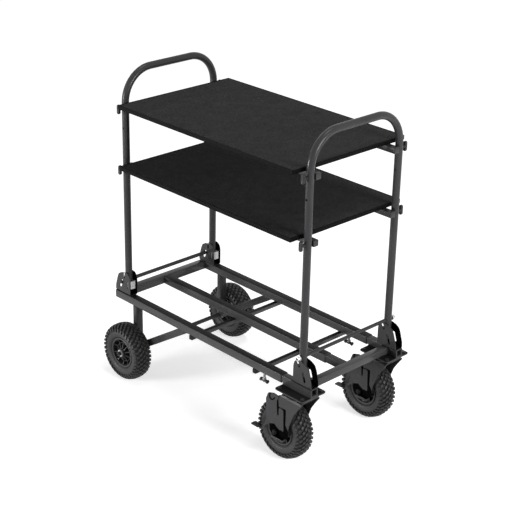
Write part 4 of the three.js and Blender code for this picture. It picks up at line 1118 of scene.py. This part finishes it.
# trays: x, y and z spans from the swivel's middle and the floor
rocker = {"mid": -53.4, "sheet": 2.4, "pin": (-1.05, 0.42), "shadowSheetY": -51.25, "shadowSheetThick": 0.3,
          "springY": -56.0, "springRadius": 2.0, "ribs": 4, "ribStart": 9.0, "ribPitch": 8.5,
          "shares": [(-1.8, 0.73), (-1.74, 0.24), (-1.86, 0.06), (-2.12, -0.058), (-2.14, -0.079), (-1.53, 0.12),
                     (-1.1, 0.19), (-0.97, 0.15), (-0.65, 0.08), (-0.6, -0.09), (-0.22, -0.09), (-0.24, 0.02),
                     (-0.41, 0.11), (-0.46, 0.64), (-0.64, 0.66), (-0.8, 0.64), (-0.8, 0.45), (-0.895, 0.45),
                     (-0.95, 0.69), (-0.96, 0.8), (-0.79, 0.94), (-1.17, 0.96), (-1.63, 0.9)],
          "lock": (-195.0, -150.5, -69.8, -42.6, 112.3), "release": (-76.6, -14.3, -75.2, -51.5, 108.9),
          "head": [(0, -47), (5.3, -47), (5.3, -54.6), (8.0, -54.6), (8.0, -54.9), (7.7, -55.1), (0, -55.2)],
          "spring": [(-103, 282), (-106, 275), (-108, 266), (-104, 259), (-97, 256), (-89, 258), (-83, 264),
                     (-80, 270)],
          "shadowSheetOutline": [(-112, 270), (-72, 275), (-64, 268), (-60, 236), (-21.5, 239), (-22, 206), (-22.5, 172), (-6, 150),
                    (-4, 128), (-14, 112), (-44, 100), (-84, 97), (-106, 118), (-108, 160), (-112, 200)]}


def tread(key, centreY, corner, bow):
    # a pedal's plate, bowed up a little along its length, and its spans
    x1, x2, y1, y2, level = rocker[key]
    x1, x2, y1, y2 = caster["x"] + x1, caster["x"] + x2, centreY + y1, centreY + y2

    def fold(u, w):
        share = (u - u.min()) / (u.max() - u.min())
        return placed(u, w, level + bow * np.sin(share * math.pi), "z"), placed(0 * u, 0, 1, "z")
    return pressed([rounded4((x1, x2), (y1, y2), corner)], 4.0, 3.0, fold), x1, x2, y1, y2, level


def makeRocker(centreY):
    sizes = np.array([caster["trail"], caster["forkHeight"]])
    origin = np.array([caster["x"], wheel["z"]])
    points, pin = origin + np.array(rocker["shares"]) * sizes, origin + np.array(rocker["pin"]) * sizes
    radii = np.full(len(points), 5.0)
    radii[[15, 16, 17, 18]] = 1.2
    radii[[0, 20, 21, 22]] = 16.0

    def fold(u, w):
        # a flat plate with a shallow raised field and a dent at its lower left
        field = np.exp(-(((u - pin[0] + 12) / 34) ** 2 + ((w - pin[1] - 20) / 42) ** 2) ** 2)
        dent = np.exp(-(((u - pin[0] + 26) / 13) ** 2 + ((w - pin[1] + 44) / 9) ** 2))
        level = centreY + rocker["mid"] - 0.5 * field + 1.3 * dent
        return placed(u, w, level, "y"), placed(0 * u, 0, -1, "y")
    parts = [pressed([filleted(points, radii)], 4.5, rocker["sheet"], fold, 0.5)]
    plate, x1, x2, y1, y2, level = tread("lock", centreY, 8.0, 0.3)
    # grip ribs across the lock pedal
    ribX = x1 + rocker["ribStart"] + rocker["ribPitch"] * np.arange(rocker["ribs"])
    parts += [plate] + [solidBar("y", (y1 + 4, y2 - 4), (x, 0, level + 1.6), (1.3, 0.9), 0.8, 0.4) for x in ribX]
    plate, x1, x2, y1, y2, level = tread("release", centreY, 5.0, 0.0)
    # the tray's raised lip: tall in front and on the right, low beside the axle nut
    lips = (("x", (x1 + 1, x2 - 1), (0, y1 + 1.6), 4.8), ("y", (y1 + 1, y2 - 1), (x2 - 1.8, 0), 4.4),
            ("y", (y1 + 1, y2 - 1), (x1 + 1.8, 0), 2.6))
    parts += [plate] + [solidBar(axis, span, place + (level - 1.6 + tall,), (1.5, tall), 1.2, 0.5)
                        for axis, span, place, tall in lips]
    # the head of the pin that the rocker turns on
    return parts + [turned("y", (pin[0], centreY, pin[1]), rocker["head"], 28)]


def makeShadowSheet(centreY):
    # painted shadow: a thin sheet of shadow black between the cheek and the rocker, which shows in the slits and round
    # the axle
    loop = filleted(np.array(rocker["shadowSheetOutline"], float) + np.array([caster["x"], 0.0]), 5.0, 4)
    return pressed([loop], 9.0, rocker["shadowSheetThick"], flatFold("y", centreY + rocker["shadowSheetY"]), 0.08)


def makeSpringShadow(centreY):
    # the return spring: a wire of shadow black that hooks round the top of the rocker and paints the shaded gap there
    smooth = resampled(rocker["spring"], 1.5)
    path = placed(smooth[:, 0], smooth[:, 1], 0, "y", (caster["x"], centreY + rocker["springY"], 0))
    return swept(path, rocker["springRadius"], 12, (0, 1, 0))


for side, node, way in sides:
    y = way * caster["legY"]
    centre, body, brakeBody = (caster["x"], y, 0), "caster_fork_" + node, "caster_brake_" + node
    piece = makePiece("casterFork" + side, makeFork(centre), blackCoat, body, [body])
    # painted shade: the crown's upper faces and bends take the darker matt paint, which dims their highlight
    dress(piece, darkCoat, lambda c, n: (c[:, 2] > 284) & (n[:, 2] > 0.08))
    # swivel: lower cup, a dark ball groove and upper cup
    makePiece("casterRace" + side, [turned("z", centre, fork["race"], 72)], darkCoat, body)
    makePiece("shadowSheet" + side, [makeShadowSheet(y)], paintedShadowBlack, body)
    # the axle and its nuts are black oxide, dark enough to also paint the shade round the axle
    makePiece("casterAxle" + side, makeAxle(y), shadeAndOxideBlack, body)
    brake = makePiece("casterBrake" + side, makeRocker(y), blackCoat, brakeBody, [brakeBody])

    def shadedWellAndArm(c, n):
        # painted shadow: the well of the release tray and the arm that carries it, down to its lower edge, take the
        # shadow black
        out = c[:, 0] - caster["x"]
        well = (n[:, 2] > 0.8) & (c[:, 2] < 111.5) & (out > -72) & (out < -18) & (c[:, 1] > y - 71)
        return well | ((out > -62) & (out < -12) & (c[:, 2] < 143) & (c[:, 1] > y - 56.5))
    dress(brake, paintedShadowBlack, shadedWellAndArm)
    makePiece("brakeSpringShadow" + side, [makeSpringShadow(y)], paintedShadowBlack, brakeBody)
print("casters made")


# Stage, light and camera, in metres: a lamp is (x, y, z, size or angle, strength)

studio = {"floorSize": 20.0, "floorTone": 0.8, "floorLift": 0.56, "world": 0.2, "aim": (0, 0, 0.5),
          "sky": (0.5, 0.4, 3.0, 26.0, 1.05), "left": (-2.2, -4.8, 1.15, 1.3, 262.0),
          "right": (4.9, 0.3, 2.3, 1.8, 222.0)}
view = {"place": (3.6275, -3.4834, 2.8528), "yaw": 46.10, "pitch": -23.86, "roll": 1.18, "lens": 96.27,
        "sensor": 36.0}
white = (1, 1, 1, 1)


def cameraRays(tree):
    # 1 for what the camera sees directly, in a gloss or through glass, and 0 for everything else
    path = tree.nodes.new("ShaderNodeLightPath")
    seen = path.outputs["Is Camera Ray"]
    for other in ("Is Glossy Ray", "Is Transmission Ray"):
        node = put(tree, "Math", {0: seen, 1: path.outputs[other]})
        node.operation = "MAXIMUM"
        seen = node.outputs[0]
    return seen


def floorFinish():
    # pale matt floor that takes the shadow, with a little plain white added for what the camera sees
    material = bpy.data.materials.new("paleStudioFloor")
    material.use_nodes = True
    tree = material.node_tree
    tree.nodes.clear()
    matt = put(tree, "BsdfDiffuse", {"Color": (studio["floorTone"],) * 3 + (1,)})
    amount = put(tree, "Math", {0: cameraRays(tree), 1: studio["floorLift"]})
    amount.operation = "MULTIPLY"
    lift = put(tree, "Emission", {"Color": white, "Strength": amount.outputs[0]})
    summed = put(tree, "AddShader", {0: matt.outputs[0], 1: lift.outputs[0]})
    put(tree, "OutputMaterial", {"Surface": summed.outputs[0]})
    return material


reach = studio["floorSize"]
floorMesh = bpy.data.meshes.new("studioFloor")
floorMesh.from_pydata([(-reach, -reach, 0), (reach, -reach, 0), (reach, reach, 0), (-reach, reach, 0)], [],
                      [(0, 1, 2, 3)])
floorMesh.materials.append(floorFinish())
floor = newObject("studioFloor", floorMesh)

world = bpy.data.worlds.new("studioWorld")
bpy.context.scene.world = world
world.use_nodes = True
tree = world.node_tree
level = put(tree, "Mix", {0: cameraRays(tree), 2: studio["world"], 3: 1.0})
tree.nodes["Background"].inputs["Color"].default_value = white
tree.links.new(level.outputs[0], tree.nodes["Background"].inputs["Strength"])


def makeLamp(name, kind, settings, aim):
    # a soft square light, or a wide and even sky light that fills an angle
    place, (size, strength) = Vector(settings[:3]), settings[3:]
    lamp = bpy.data.lights.new(name, kind)
    lamp.energy = strength
    if kind == "SUN":
        lamp.angle = math.radians(size)
    else:
        lamp.shape = "SQUARE"
        lamp.size = size
    item = newObject(name, lamp)
    item.location = place
    item.rotation_euler = (Vector(aim) - place).to_track_quat("-Z", "Y").to_euler()


makeLamp("overheadSky", "SUN", studio["sky"], (0, 0, 0))
makeLamp("leftSoftbox", "AREA", studio["left"], studio["aim"])
makeLamp("rightSoftbox", "AREA", studio["right"], studio["aim"])


def makeCamera():
    yaw, pitch, roll = (math.radians(view[key]) for key in ("yaw", "pitch", "roll"))
    ahead = np.array([-math.sin(yaw), math.cos(yaw), 0])
    right = np.array([math.cos(yaw), math.sin(yaw), 0])
    up = np.array([0, 0, 1.0])
    forward = ahead * math.cos(pitch) + up * math.sin(pitch)
    over = up * math.cos(pitch) - ahead * math.sin(pitch)
    right2 = right * math.cos(roll) + over * math.sin(roll)
    over2 = over * math.cos(roll) - right * math.sin(roll)
    lens = bpy.data.cameras.new("productCamera")
    lens.lens = view["lens"]
    lens.sensor_width = view["sensor"]
    lens.sensor_fit = "HORIZONTAL"
    camera = newObject("productCamera", lens)
    turn = Matrix((right2.tolist(), over2.tolist(), (-forward).tolist())).transposed()
    camera.matrix_world = Matrix.Translation(Vector(view["place"])) @ turn.to_4x4()
    bpy.context.scene.camera = camera


makeCamera()
bpy.context.scene.view_settings.view_transform = "Standard"
print("stage, lights and camera made")
